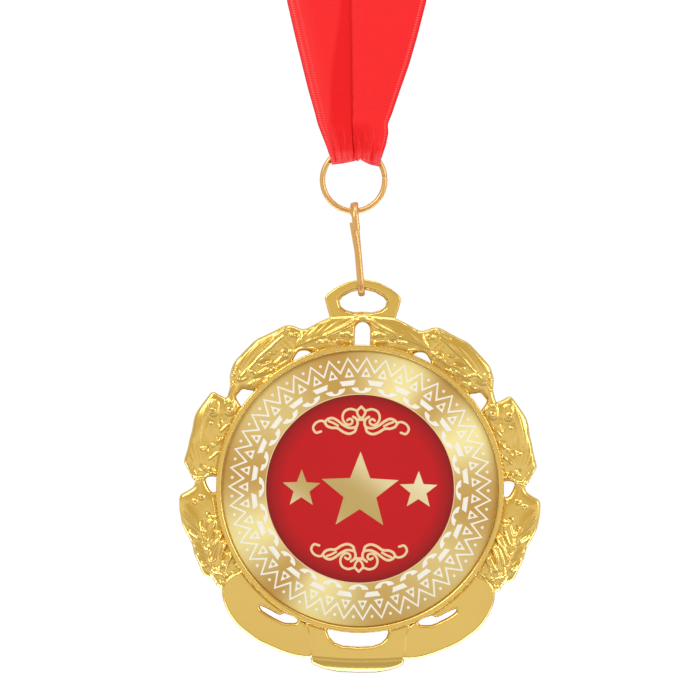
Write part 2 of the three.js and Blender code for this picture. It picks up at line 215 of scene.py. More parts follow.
def cut_cells(field, xs, ys):
    """The cells of a grid, clipped to where the field is positive: points, polygons and rim loops."""
    inside = field > 0
    index = np.full(field.shape, -1)
    index[inside] = np.arange(inside.sum())
    gx, gy = np.meshgrid(xs, ys, indexing="ij")
    first = int(inside.sum())
    corner_sets = [inside[:-1, :-1], inside[1:, :-1], inside[1:, 1:], inside[:-1, 1:]]
    full = np.logical_and.reduce(corner_sets)
    partial = np.logical_or.reduce(corner_sets) & ~full
    faces = np.stack([
        index[:-1, :-1][full], index[1:, :-1][full], index[1:, 1:][full], index[:-1, 1:][full],
    ], axis=1).tolist()
    crossings = {}
    extra = []

    def crossing(a, b):
        key = (a, b) if a < b else (b, a)
        if key not in crossings:
            a, b = key
            t = min(max(field[a] / (field[a] - field[b]), 0.05), 0.95)
            crossings[key] = first + len(extra)
            extra.append((xs[a[0]] + t * (xs[b[0]] - xs[a[0]]), ys[a[1]] + t * (ys[b[1]] - ys[a[1]])))
        return crossings[key]

    for i, j in zip(*(axis.tolist() for axis in np.nonzero(partial))):
        ring = [(i, j), (i + 1, j), (i + 1, j + 1), (i, j + 1)]
        polygon = []
        for a, b in pairs_round(ring):
            if inside[a]:
                polygon.append(int(index[a]))
            if inside[a] != inside[b]:
                polygon.append(crossing(a, b))
        corners = [k for k, point in enumerate(polygon) if point < first]
        if len(polygon) == 6 and len(corners) == 2:
            faces += [[polygon[k - 1], polygon[k], polygon[(k + 1) % 6]] for k in corners]
        else:
            faces.append(polygon)
    points = np.concatenate([np.stack([gx[inside], gy[inside]], axis=1), np.array(extra).reshape(-1, 2)])
    following = {}
    for face in faces:
        for a, b in pairs_round(face):
            if a >= first and b >= first:
                following[a] = b
    loops = []
    while following:
        start, point = following.popitem()
        loop = [start]
        while point != start:
            loop.append(point)
            point = following.pop(point)
        loops.append(loop)
    return points, faces, loops


def fill_loops(points, loops):
    """Triangles that fill flat loops, holes left open, as indices into the joined loops, facing +z."""
    polygons = [[Vector((points[i][0], points[i][1], 0)) for i in loop] for loop in loops]
    order = [i for loop in loops for i in loop]
    triangles = []
    for a, b, c in tessellate_polygon(polygons):
        pa, pb, pc = (points[order[i]] for i in (a, b, c))
        turn = (pb[0] - pa[0]) * (pc[1] - pa[1]) - (pb[1] - pa[1]) * (pc[0] - pa[0])
        if abs(turn) < 1e-9:
            continue
        triangles.append((order[a], order[b], order[c]) if turn > 0 else (order[a], order[c], order[b]))
    return triangles


def soft_step(share):
    """A share from 0 to 1 with a soft start and a soft end."""
    return share * share * (3 - 2 * share)


# ------------------------------------------------------------------ shader nodes
def link(tree, source, target):
    tree.links.new(source, target)


def feed(tree, value, slot):
    """Put a number or a colour on an input, or link a node's output to it."""
    if isinstance(value, (int, float)):
        slot.default_value = value
    elif isinstance(value, tuple):
        slot.default_value = (*value, 1.0)
    else:
        link(tree, value, slot)


def math_node(tree, operation, first, second=None, clamp=False):
    """A Math node's result."""
    node = tree.nodes.new("ShaderNodeMath")
    node.operation = operation
    node.use_clamp = clamp
    for slot, value in zip(node.inputs, (first, second)):
        if value is not None:
            feed(tree, value, slot)
    return node.outputs[0]


def mix_colours(tree, factor, first, second, blend="MIX"):
    """One colour laid over another by a factor."""
    node = tree.nodes.new("ShaderNodeMix")
    node.data_type = "RGBA"
    node.blend_type = blend
    for name, value in (("Factor_Float", factor), ("A_Color", first), ("B_Color", second)):
        feed(tree, value, next(s for s in node.inputs if s.identifier == name))
    return next(s for s in node.outputs if s.identifier == "Result_Color")


def clouds(tree, place, scale, detail):
    """A cloudy noise that depends on the place."""
    node = tree.nodes.new("ShaderNodeTexNoise")
    node.inputs["Detail"].default_value = detail
    link(tree, place, node.inputs["Vector"])
    feed(tree, scale, node.inputs["Scale"])
    return node.outputs["Fac"]


def stretched(tree, place, scale):
    """A place with its axes stretched, for a noise that runs along the cloth."""
    node = tree.nodes.new("ShaderNodeMapping")
    node.inputs["Scale"].default_value = scale
    link(tree, place, node.inputs["Vector"])
    return node.outputs["Vector"]


def split_place(tree, place):
    """A place's X, Y and Z."""
    parts = tree.nodes.new("ShaderNodeSeparateXYZ")
    link(tree, place, parts.inputs[0])
    return parts.outputs


def object_place(tree):
    return tree.nodes.new("ShaderNodeTexCoord").outputs["Object"]


def ramp(tree, factor, stops, smooth=True):
    """A colour that runs through stops of (position, colour)."""
    node = tree.nodes.new("ShaderNodeValToRGB")
    node.color_ramp.interpolation = "EASE" if smooth else "LINEAR"
    while len(node.color_ramp.elements) > 1:
        node.color_ramp.elements.remove(node.color_ramp.elements[-1])
    for number, (position, colour) in enumerate(stops):
        element = node.color_ramp.elements[0] if number == 0 else node.color_ramp.elements.new(position)
        element.position = position
        element.color = (*colour, 1.0)
    link(tree, factor, node.inputs["Fac"])
    return node.outputs["Color"]


# ------------------------------------------------------------------ shader groups
def new_group(name, colours, numbers):
    """A shader group with named inputs, which puts out a tone, a roughness and a height."""
    tree = bpy.data.node_groups.new(name, "ShaderNodeTree")
    for title in colours:
        tree.interface.new_socket(name=title, in_out="INPUT", socket_type="NodeSocketColor")
    for title, value in numbers.items():
        made = tree.interface.new_socket(name=title, in_out="INPUT", socket_type="NodeSocketFloat")
        made.default_value = value
    tree.interface.new_socket(name="Tone", in_out="OUTPUT", socket_type="NodeSocketColor")
    tree.interface.new_socket(name="Roughness", in_out="OUTPUT", socket_type="NodeSocketFloat")
    tree.interface.new_socket(name="Height", in_out="OUTPUT", socket_type="NodeSocketFloat")
    return tree, tree.nodes.new("NodeGroupInput").outputs, tree.nodes.new("NodeGroupOutput").inputs


def plating_group():
    """Plated metal: a tone that drifts a little, cloudy roughness and a fine grain."""
    tree, given, made = new_group("plated_metal", ("Light Tone", "Deep Tone"), {
        "Patch Scale": 90.0, "Low Roughness": 0.2, "High Roughness": 0.32})
    place = object_place(tree)
    patches = clouds(tree, place, given["Patch Scale"], 3.0)
    link(tree, mix_colours(tree, patches, given["Light Tone"], given["Deep Tone"]), made["Tone"])
    spread = math_node(tree, "SUBTRACT", given["High Roughness"], given["Low Roughness"])
    part = math_node(tree, "MULTIPLY", spread, patches)
    link(tree, math_node(tree, "ADD", part, given["Low Roughness"]), made["Roughness"])
    link(tree, clouds(tree, place, 2600.0, 2.0), made["Height"])
    return tree


def wave(tree, along, pitch):
    """A sine wave of a given pitch."""
    turns = math_node(tree, "DIVIDE", along, pitch)
    return math_node(tree, "SINE", math_node(tree, "MULTIPLY", turns, 2 * math.pi))


def fading(tree, distance, reach):
    """A mask that is full at no distance and gone at its reach."""
    return math_node(tree, "SUBTRACT", 1.0, math_node(tree, "DIVIDE", distance, reach), clamp=True)


def dotted_line(tree, edge, inside):
    """A narrow mask round a line that runs a little inside an edge."""
    off_line = math_node(tree, "ABSOLUTE", math_node(tree, "SUBTRACT", edge, inside))
    return fading(tree, off_line, SELVAGE_HALF)


def weave_group():
    """Satin: weft ribs across the ribbon, warp floats along it, and a row of selvage loops at each edge."""
    tree, given, made = new_group("satin_weave", ("Body Tone", "Shade Tone", "Hem Tone", "Loop Tone"), {
        "Rib Pitch": 0.45})
    cloth = tree.nodes.new("ShaderNodeUVMap")
    cloth.uv_map = "cloth"
    cloth = cloth.outputs["UV"]
    # The cloth's own coordinates: x runs across the ribbon from -0.5 to 0.5, y along it in widths.
    widths = split_place(tree, cloth)
    across = math_node(tree, "MULTIPLY", widths["X"], RIBBON_WIDTH)
    along = math_node(tree, "MULTIPLY", widths["Y"], RIBBON_WIDTH)
    rib_wave = wave(tree, along, given["Rib Pitch"])
    ribs = math_node(tree, "MULTIPLY", math_node(tree, "ADD", rib_wave, 1.0), 0.5)
    drift = clouds(tree, stretched(tree, cloth, (9.0, 0.8, 1.0)), 5.0, 3.0)
    streaks = clouds(tree, stretched(tree, cloth, (16.0, 0.9, 1.0)), 5.0, 2.0)
    streak = math_node(tree, "MULTIPLY", math_node(tree, "SUBTRACT", streaks, 0.36), 3.4, clamp=True)
    # Selvage: a dotted line a little inside each edge, and a fainter second one at the left.
    edge = math_node(tree, "SUBTRACT", RIBBON_WIDTH / 2, math_node(tree, "ABSOLUTE", across))
    left_edge = math_node(tree, "ADD", across, RIBBON_WIDTH / 2)
    dot = math_node(tree, "ADD", wave(tree, along, SELVAGE_PITCH), 0.45, clamp=True)
    dots = math_node(tree, "MULTIPLY", dot, dotted_line(tree, edge, SELVAGE_IN))
    second = math_node(tree, "MULTIPLY", dot, dotted_line(tree, left_edge, SECOND_ROW_IN))
    dots = math_node(tree, "ADD", dots, math_node(tree, "MULTIPLY", second, 0.45), clamp=True)
    # Painted shade and light on the cloth, from a colour attribute: red where a fold lies in shade, green where
    # the light catches one.
    painted_light_marks = tree.nodes.new("ShaderNodeVertexColor")
    painted_light_marks.layer_name = "painted_shade_and_light"
    painted_fold_shade_light = tree.nodes.new("ShaderNodeSeparateColor")
    link(tree, painted_light_marks.outputs["Color"], painted_fold_shade_light.inputs[0])
    in_shade, in_light = painted_fold_shade_light.outputs[0], painted_fold_shade_light.outputs[1]
    # The shade tone: random drift and the ribs, plus painted shade beside the crease and over the gathers.
    shade = math_node(tree, "MULTIPLY", drift, 0.3)
    shade = math_node(tree, "ADD", shade, math_node(tree, "MULTIPLY", ribs, 0.12))
    shade = math_node(tree, "ADD", shade, math_node(tree, "MULTIPLY", in_shade, 0.85), clamp=True)
    dashes = math_node(tree, "MULTIPLY", ribs, fading(tree, left_edge, DASHES_REACH))
    tone = mix_colours(tree, shade, given["Body Tone"], given["Shade Tone"])
    # Laid over the tone: the dark hem, the rib dashes, painted light in streaks where the light catches the
    # lower fold, and the selvage dots.
    for mask, strength, laid_over in (
        (fading(tree, edge, HEM), 0.7, "Hem Tone"),
        (dashes, 0.22, "Loop Tone"),
        (math_node(tree, "MULTIPLY", in_light, streak), 0.5, "Loop Tone"),
        (dots, 0.75, "Loop Tone"),
    ):
        tone = mix_colours(tree, math_node(tree, "MULTIPLY", mask, strength), tone, given[laid_over])
    link(tree, tone, made["Tone"])
    rough = math_node(tree, "ADD", math_node(tree, "MULTIPLY", drift, 0.16), 0.36)
    link(tree, math_node(tree, "ADD", rough, math_node(tree, "MULTIPLY", dots, 0.2)), made["Roughness"])
    warp = math_node(tree, "MULTIPLY", wave(tree, across, WARP_PITCH), 0.18)
    height = math_node(tree, "ADD", math_node(tree, "MULTIPLY", rib_wave, 0.5), warp)
    link(tree, math_node(tree, "ADD", height, math_node(tree, "MULTIPLY", dots, 2.2)), made["Height"])
    return tree


def print_group():
    """Printed ink or foil: slight mottling of tone and roughness."""
    tree, given, made = new_group("printed_film", ("Tone",), {"Mottle": 0.06, "Base Roughness": 0.35})
    grain = clouds(tree, object_place(tree), 1500.0, 4.0)
    spots = math_node(tree, "MULTIPLY", grain, given["Mottle"])
    dark = mix_colours(tree, 1.0, given["Tone"], (0.55, 0.5, 0.5), blend="MULTIPLY")
    link(tree, mix_colours(tree, spots, given["Tone"], dark), made["Tone"])
    extra = math_node(tree, "MULTIPLY", grain, 0.12)
    link(tree, math_node(tree, "ADD", extra, given["Base Roughness"]), made["Roughness"])
    link(tree, grain, made["Height"])
    return tree


PLATING = plating_group()
WEAVE = weave_group()
FILM = print_group()


# ------------------------------------------------------------------ materials
def new_material(name, metallic=0.0, **constants):
    """A material with its Principled shader; constants go straight on the shader's sockets."""
    material = bpy.data.materials.new(name)
    material.use_nodes = True
    shader = material.node_tree.nodes["Principled BSDF"]
    shader.inputs["Metallic"].default_value = metallic
    for key, value in constants.items():
        shader.inputs[key.replace("_", " ")].default_value = value
    return material, material.node_tree, shader


def use_group(tree, group, shader, bump_mm, **values):
    """Place a shader group with its own values; its tone, roughness and height go to the shader."""
    node = tree.nodes.new("ShaderNodeGroup")
    node.node_tree = group
    for key, value in values.items():
        feed(tree, value, node.inputs[key.replace("_", " ")])
    link(tree, node.outputs["Tone"], shader.inputs["Base Color"])
    link(tree, node.outputs["Roughness"], shader.inputs["Roughness"])
    bump = tree.nodes.new("ShaderNodeBump")
    bump.inputs["Distance"].default_value = bump_mm * MM
    link(tree, node.outputs["Height"], bump.inputs["Height"])
    link(tree, bump.outputs["Normal"], shader.inputs["Normal"])
    return node


def plated(name, light, deep, low, high, patch_scale=90.0, grain_mm=0.0003, coat=1.0):
    """Polished or worn plating between two tones and two roughnesses."""
    material, tree, shader = new_material(name, metallic=1.0, Coat_Weight=coat, Coat_Roughness=0.18,
                                          Coat_IOR=1.65)
    use_group(tree, PLATING, shader, grain_mm, Light_Tone=light, Deep_Tone=deep, Patch_Scale=patch_scale,
              Low_Roughness=low, High_Roughness=high)
    return material


def satin(name, body, shade, hem, loops):
    """Woven satin between a lit tone and a shaded one."""
    material, tree, shader = new_material(name, Sheen_Weight=0.12, Sheen_Roughness=0.4, Specular_IOR_Level=0.2,
                                          Sheen_Tint=(1.0, 0.4, 0.4, 1.0))
    # The loops' tone also serves as painted light on the lower fold.
    use_group(tree, WEAVE, shader, 0.009, Body_Tone=body, Shade_Tone=shade, Hem_Tone=hem, Loop_Tone=loops,
              Rib_Pitch=RIB_PITCH)
    return material


def printed(name, tone, metallic=0.0, roughness=0.35, mottle=0.06):
    """Ink, foil, paper or thread in one tone; also its nodes, for a tone that changes over the surface."""
    material, tree, shader = new_material(name, metallic=metallic, Specular_IOR_Level=0.15)
    node = use_group(tree, FILM, shader, 0.0008, Tone=tone, Mottle=mottle, Base_Roughness=roughness)
    return material, tree, node


CAST_GOLD = plated("cast_gold", (0.875, 0.60, 0.13), (0.845, 0.56, 0.11), 0.21, 0.28)
BACK_GOLD = plated("cast_gold_back", (0.80, 0.54, 0.15), (0.70, 0.45, 0.11), 0.36, 0.5,
                   patch_scale=45.0, grain_mm=0.006)
WIRE_GOLD = plated("wire_gold", (0.81, 0.495, 0.195), (0.74, 0.42, 0.15), 0.34, 0.44,
                   patch_scale=160.0, grain_mm=0.0001, coat=0.15)
RED_SATIN = satin("red_satin", (0.93, 0.021, 0.026), (0.83, 0.006, 0.010), (0.42, 0.012, 0.05),
                  (1.0, 0.19, 0.19))
RED_THREAD = printed("red_thread", (0.62, 0.012, 0.02), roughness=0.6, mottle=0.4)[0]
BAND_PAPER = printed("band_paper", (0.88, 0.86, 0.80), roughness=0.75, mottle=0.25)[0]
FOAM_TAPE = printed("foam_tape", (0.86, 0.86, 0.82), roughness=0.8, mottle=0.4)[0]
WHITE_INK = printed("white_ink", (0.93, 0.92, 0.86), roughness=0.45)[0]
PALE_GOLD_INK = printed("pale_gold_ink", (0.86, 0.66, 0.38), roughness=0.4)[0]

# The foil's tone where it shows a painted reflection of the lights, and where it shows none.
FOIL_REFLECTING_TONE = np.array([1.0, 0.90, 0.43])
FOIL_UNLIT_TONE = np.array([0.605, 0.375, 0.105])
# Degrees round the disc from the right-hand side, and how much painted reflection lightens the foil there.
FOIL_PAINTED_REFLECTIONS = [(0, 0.08), (27, 1.0), (50, 0.06), (68, 0.96), (102, 0.0), (140, 0.46), (174, 0.0), (203, 0.98),
               (230, 0.02), (248, 0.97), (281, 0.14), (322, 0.5), (352, 0.0), (360, 0.08)]
# Share of the way from the red centre's middle to its rim, and the ink's colour there.
RED_STOPS = [(0.0, (0.585, 0.013, 0.018)), (0.80, (0.56, 0.013, 0.018)), (0.92, (0.41, 0.014, 0.018)),
             (1.0, (0.25, 0.014, 0.014))]
# The soft sweep over the stars, from its dark to its light.
STAR_STOPS = [(0.0, (0.57, 0.42, 0.16)), (0.45, (0.83, 0.70, 0.40)), (1.0, (0.95, 0.86, 0.62))]
RED_RADIUS = 16.73


def from_disc_middle(tree):
    """How far a place lies to the right of the disc's middle and above it, in metres."""
    place = split_place(tree, object_place(tree))
    return (math_node(tree, "SUBTRACT", place["X"], DISC_MIDDLE.x * MM),
            math_node(tree, "SUBTRACT", place["Z"], DISC_MIDDLE.z * MM))


def foil_material():
    """Gold foil with light and dark rays that turn round the disc's middle: painted reflections of the lights in
    the spun foil.
    """
    material, tree, node = printed("gold_foil", (0.8, 0.6, 0.2), metallic=0.25, roughness=0.34, mottle=0.1)
    across, up = from_disc_middle(tree)
    turn = math_node(tree, "DIVIDE", math_node(tree, "ARCTAN2", up, across), 2 * math.pi)
    turn = math_node(tree, "FRACT", math_node(tree, "ADD", turn, 1.0))
    stops = [(degrees / 360, FOIL_UNLIT_TONE + (FOIL_REFLECTING_TONE - FOIL_UNLIT_TONE) * light) for degrees, light in FOIL_PAINTED_REFLECTIONS]
    link(tree, ramp(tree, turn, stops), node.inputs["Tone"])
    return material


def red_material():
    """Red ink that darkens towards its rim."""
    material, tree, node = printed("red_ink", (0.6, 0.02, 0.03), roughness=0.38, mottle=0.12)
    across, up = from_disc_middle(tree)
    square = math_node(tree, "ADD", math_node(tree, "MULTIPLY", across, across),
                       math_node(tree, "MULTIPLY", up, up))
    share = math_node(tree, "DIVIDE", math_node(tree, "SQRT", square), RED_RADIUS * MM)
    link(tree, ramp(tree, share, RED_STOPS, smooth=False), node.inputs["Tone"])
    return material


def star_material():
    """Pale gold with a soft light and dark sweep across it."""
    material, tree, node = printed("star_foil", (0.8, 0.65, 0.35), metallic=0.2, roughness=0.36)
    place = split_place(tree, object_place(tree))
    slope = math_node(tree, "ADD", math_node(tree, "MULTIPLY", place["X"], 120.0),
                      math_node(tree, "MULTIPLY", place["Z"], 170.0))
    sweep = math_node(tree, "MULTIPLY", math_node(tree, "ADD", math_node(tree, "SINE", slope), 1.0), 0.5)
    link(tree, ramp(tree, sweep, STAR_STOPS), node.inputs["Tone"])
    return material


# ------------------------------------------------------------------ the wreath casting
BACK = -0.95
RECESS_FLOOR = -0.1
BEZEL_INNER = 24.6
BEZEL_OUTER = 25.6
BEZEL_FRONT = 1.9
EYELET_FRONT = 0.95
BANNER_FRONT = 1.5
TAB_FRONT = 1.8
CELL = 0.13
# The grid that the front is drawn on: half its width, its lowest and highest line, a small shift of its lines.
GRID_HALF_WIDTH = 33.2
GRID_LOW = -33.4
GRID_HIGH = 38.0
GRID_SHIFT_X = 0.0037
GRID_SHIFT_Y = 0.013

EYELET = [
    (-1, 29.6), (5.2, 29.6), (5.9, 30.5), (6.45, 32.2), (6.85, 33.8), (6.3, 34.6), (5.0, 35.6), (2.6, 36.8),
    (0, 37.3), (-1, 37.25),
]
EYELET_SLOT = [
    (-1, 35.42), (0, 35.42), (2.1, 34.95), (3.6, 34.1), (4.15, 33.4), (3.9, 32.4), (3.0, 31.75),
    (1.6, 31.4), (0, 31.5), (-1, 31.5),
]
WREATH_EDGE = [
    (5.8, 30.4), (7.6, 29.6), (9.2, 28.7), (10.25, 28.25), (11.2, 28.35), (12.3, 28.75), (13.3, 28.86),
    (14.3, 28.55), (15.7, 27.8), (17.4, 26.95), (18.8, 26.25), (20.1, 25.05), (21.5, 23.55), (22.6, 22.3),
    (23.2, 20.95), (23.5, 19.6), (23.4, 18.0), (23.65, 16.8), (24.0, 15.85), (24.6, 15.95), (25.5, 16.42),
    (26.3, 16.82), (26.9, 16.5), (27.4, 15.85), (28.4, 14.5), (29.3, 13.1), (29.75, 11.8), (30.05, 9.9),
    (30.45, 8.4), (30.8, 6.6), (31.35, 4.6), (31.2, 3.9), (30.75, 3.1), (30.0, 1.65), (29.4, 0.8),
    (29.65, -0.1), (30.85, -0.95), (31.95, -1.66), (32.15, -3.2), (31.9, -5.1), (31.4, -7.05), (30.4, -9.0),
    (29.7, -10.3), (29.35, -11.9), (28.4, -13.95), (27.55, -15.7), (26.2, -16.4), (25.45, -17.0),
    (25.2, -17.7), (24.4, -18.0),
]
HALF_MOON = [
    (12.1, 22.4), (11.8, 23.5), (11.1, 24.25), (10.0, 24.36), (9.1, 23.98), (8.6, 23.3), (9.5, 22.5),
]
CORNER_WINDOW = [
    (20.8, 13.9), (21.6, 14.7), (22.25, 15.9), (21.7, 16.8), (21.1, 17.35), (20.2, 17.2), (19.2, 17.05),
    (18.4, 16.6), (19.4, 15.0),
]
TEAR_DROP = [
    (27.45, 1.2), (26.7, 1.7), (25.6, 1.55), (25.2, 0.5), (25.4, -0.7), (26.2, -1.05), (26.9, -0.3),
]
BANNER = [
    (20.5, -15.1), (21.6, -15.2), (22.6, -15.65), (23.6, -16.6), (24.25, -17.9), (24.15, -19.6),
    (23.5, -21.5), (22.6, -23.1), (21.3, -24.7), (19.3, -26.3), (17.5, -27.5), (15.0, -28.6),
    (13.1, -29.35), (11.2, -29.9), (8.8, -30.15), (8.1, -29.6), (8.0, -26.6), (8.6, -24.9), (10.4, -23.0),
    (16.0, -17.5),
]
LOWER_SLOT = [
    (17.4, -21.1), (16.9, -21.25), (15.6, -21.85), (14.5, -22.45), (13.85, -22.65), (13.1, -22.4),
    (11.9, -22.8), (10.8, -23.4), (11.1, -24.0), (12.8, -24.05), (14.1, -23.6), (16.35, -22.4),
    (17.35, -21.6),
]
TAB = [
    (-1, -23.5), (9.3, -23.5), (9.2, -24.6), (8.8, -25.9), (8.6, -28.7), (8.15, -31.1), (7.3, -31.6),
    (5.8, -32.2), (3.3, -32.72), (0, -32.8), (-1, -32.8),
]
TAB_WINDOW = [
    (-1, -24.4), (5.0, -24.4), (5.45, -25.4), (5.0, -26.5), (4.1, -27.4), (2.6, -27.95), (0, -28.08),
    (-1, -28.08),
]
TOP_SLOT_HALF = 1.3
TOP_SLOT_TOP = 29.6
TOP_SLOT_BOTTOM = 20.0
BACK_EASE = 0.14
SOFTEN = 0.07
CREASE_OF_TAB = -30.4
LIP_DROP = 1.9

# Relief of the right half, as lines on the casting: points, half width, height (a groove when negative).
RIDGES = [
    # the leaf along the top: its broad rib, then the folds below it
    ([(1.1, 30.1), (2.7, 29.0), (5.0, 27.85), (6.4, 27.15)], 0.55, 0.42),
    ([(6.3, 27.2), (8.0, 26.65), (9.6, 26.05), (11.7, 25.1)], 0.3, 0.22),
    ([(1.9, 27.2), (2.75, 27.45), (3.7, 27.4)], 0.55, 0.4),
    ([(2.2, 26.05), (3.5, 26.15), (4.6, 26.25)], 0.35, 0.24),
    ([(4.9, 26.3), (5.5, 26.4), (6.1, 26.3)], 0.35, -0.35),
    ([(6.1, 26.25), (6.8, 26.15), (7.7, 26.2)], 0.35, 0.3),
    ([(8.1, 24.2), (8.5, 24.6), (9.5, 24.75), (10.6, 24.75), (11.5, 24.35), (12.2, 23.4)], 0.4, 0.28),
    ([(1.6, 25.9), (1.6, 28.6)], 0.25, 0.14),
    # the corner leaf: bright rib with a hook at its end, and the crumpled leaf inside it
    ([(13.4, 28.1), (14.5, 27.6), (15.6, 26.85)], 0.25, 0.16),
    ([(13.9, 26.95), (15.1, 26.05), (16.3, 24.85), (17.4, 23.9), (18.3, 23.05), (19.2, 21.95), (20.3, 20.8),
      (21.3, 19.8), (21.95, 19.1)], 0.26, 0.24),
    ([(21.95, 19.1), (21.5, 18.9), (20.3, 19.4)], 0.22, 0.2),
    ([(16.5, 22.5), (17.3, 22.2), (18.2, 21.85)], 0.3, -0.32),
    ([(15.9, 22.25), (16.5, 22.0), (17.4, 21.65)], 0.25, 0.22),
    ([(14.3, 23.2), (14.9, 22.5), (15.7, 22.0)], 0.25, 0.24),
    ([(15.0, 21.5), (15.5, 21.25), (16.1, 21.4)], 0.3, 0.26),
    ([(16.7, 21.1), (17.5, 20.65), (18.3, 20.2)], 0.3, 0.3),
    ([(18.9, 20.1), (19.5, 20.5), (20.4, 20.65)], 0.25, 0.26),
    ([(19.2, 18.8), (19.6, 18.4), (20.1, 18.1)], 0.3, 0.28),
    ([(15.3, 23.95), (15.8, 23.75), (16.4, 23.8)], 0.25, 0.2),
    ([(16.4, 22.95), (17.4, 22.9), (18.3, 22.4)], 0.22, 0.14),
    ([(16.2, 20.35), (17.3, 19.75), (18.4, 19.4), (19.2, 19.2)], 0.35, -0.3),
    ([(13.2, 22.9), (14.8, 22.0), (16.6, 20.9)], 0.3, -0.22),
    # the leaves beside the bezel: short creases on the inner one
    ([(23.5, 11.1), (24.15, 10.55), (24.9, 9.75)], 0.22, 0.24),
    ([(24.6, 11.65), (24.8, 11.0), (25.1, 10.4)], 0.2, 0.22),
    ([(25.0, 11.9), (25.2, 10.9)], 0.22, -0.22),
    ([(24.65, 8.6), (25.05, 8.2), (25.55, 7.65)], 0.3, 0.26),
    ([(24.85, 5.65), (25.25, 6.15), (26.0, 5.55), (26.85, 4.85)], 0.2, 0.22),
    ([(24.6, 5.1), (25.25, 6.1)], 0.2, 0.14),
    ([(27.3, 6.35), (27.75, 6.85), (28.3, 6.65)], 0.34, 0.36),
    ([(27.1, 7.0), (27.25, 6.2)], 0.3, -0.3),
    ([(27.5, 1.45), (28.2, 1.55), (29.0, 1.45), (29.7, 1.5)], 0.35, 0.3),
    ([(29.0, 1.75), (29.4, 2.4), (29.8, 3.2)], 0.2, 0.22),
    ([(29.6, 1.3), (30.2, 2.2), (30.7, 3.1)], 0.2, 0.18),
    ([(28.3, 3.7), (28.4, 2.9)], 0.25, -0.25),
    ([(27.65, 3.7), (27.6, 2.9)], 0.25, 0.24),
    ([(25.4, 2.35), (25.85, 2.7), (26.2, 3.05)], 0.28, 0.3),
    ([(26.5, 2.1), (27.1, 1.95), (27.6, 1.4)], 0.3, 0.3),
    # the lobed leaf: its rib and the bright backs of its lobes
    ([(28.6, -6.8), (27.9, -8.8), (27.1, -10.7), (26.55, -12.8), (26.0, -14.8)], 0.55, 0.26),
    ([(25.8, -7.1), (26.3, -8.55), (27.0, -10.1)], 0.22, 0.24),
    ([(24.45, -8.6), (24.85, -9.4), (25.65, -10.3), (26.05, -11.3), (26.5, -12.4)], 0.28, 0.3),
    ([(23.8, -10.3), (24.2, -11.2), (24.5, -12.4), (24.3, -14.3)], 0.3, 0.32),
    ([(28.0, -6.2), (27.85, -7.4)], 0.25, -0.28),
    ([(26.85, -4.75), (26.6, -5.25)], 0.25, -0.3),
    ([(25.6, -5.5), (26.2, -5.45)], 0.35, 0.36),
    ([(27.05, -4.7), (27.15, -5.3)], 0.22, 0.24),
    ([(28.8, -8.95), (29.5, -8.5), (30.15, -8.0)], 0.3, 0.26),
    ([(27.2, -14.1), (27.6, -13.8), (28.0, -13.55)], 0.32, 0.3),
    ([(25.1, -15.3), (25.2, -14.6)], 0.35, 0.36),
    ([(23.6, -15.8), (24.0, -15.5)], 0.4, 0.34),
    ([(25.8, -15.9), (26.3, -15.3)], 0.28, 0.3),
    ([(22.2, -13.0), (21.9, -12.2)], 0.3, 0.26),
    ([(21.4, -14.2), (21.9, -13.9)], 0.3, 0.26),
    ([(23.2, -14.1), (23.8, -14.0)], 0.3, 0.26),
    ([(22.0, -15.1), (22.6, -15.2)], 0.25, 0.22),
]
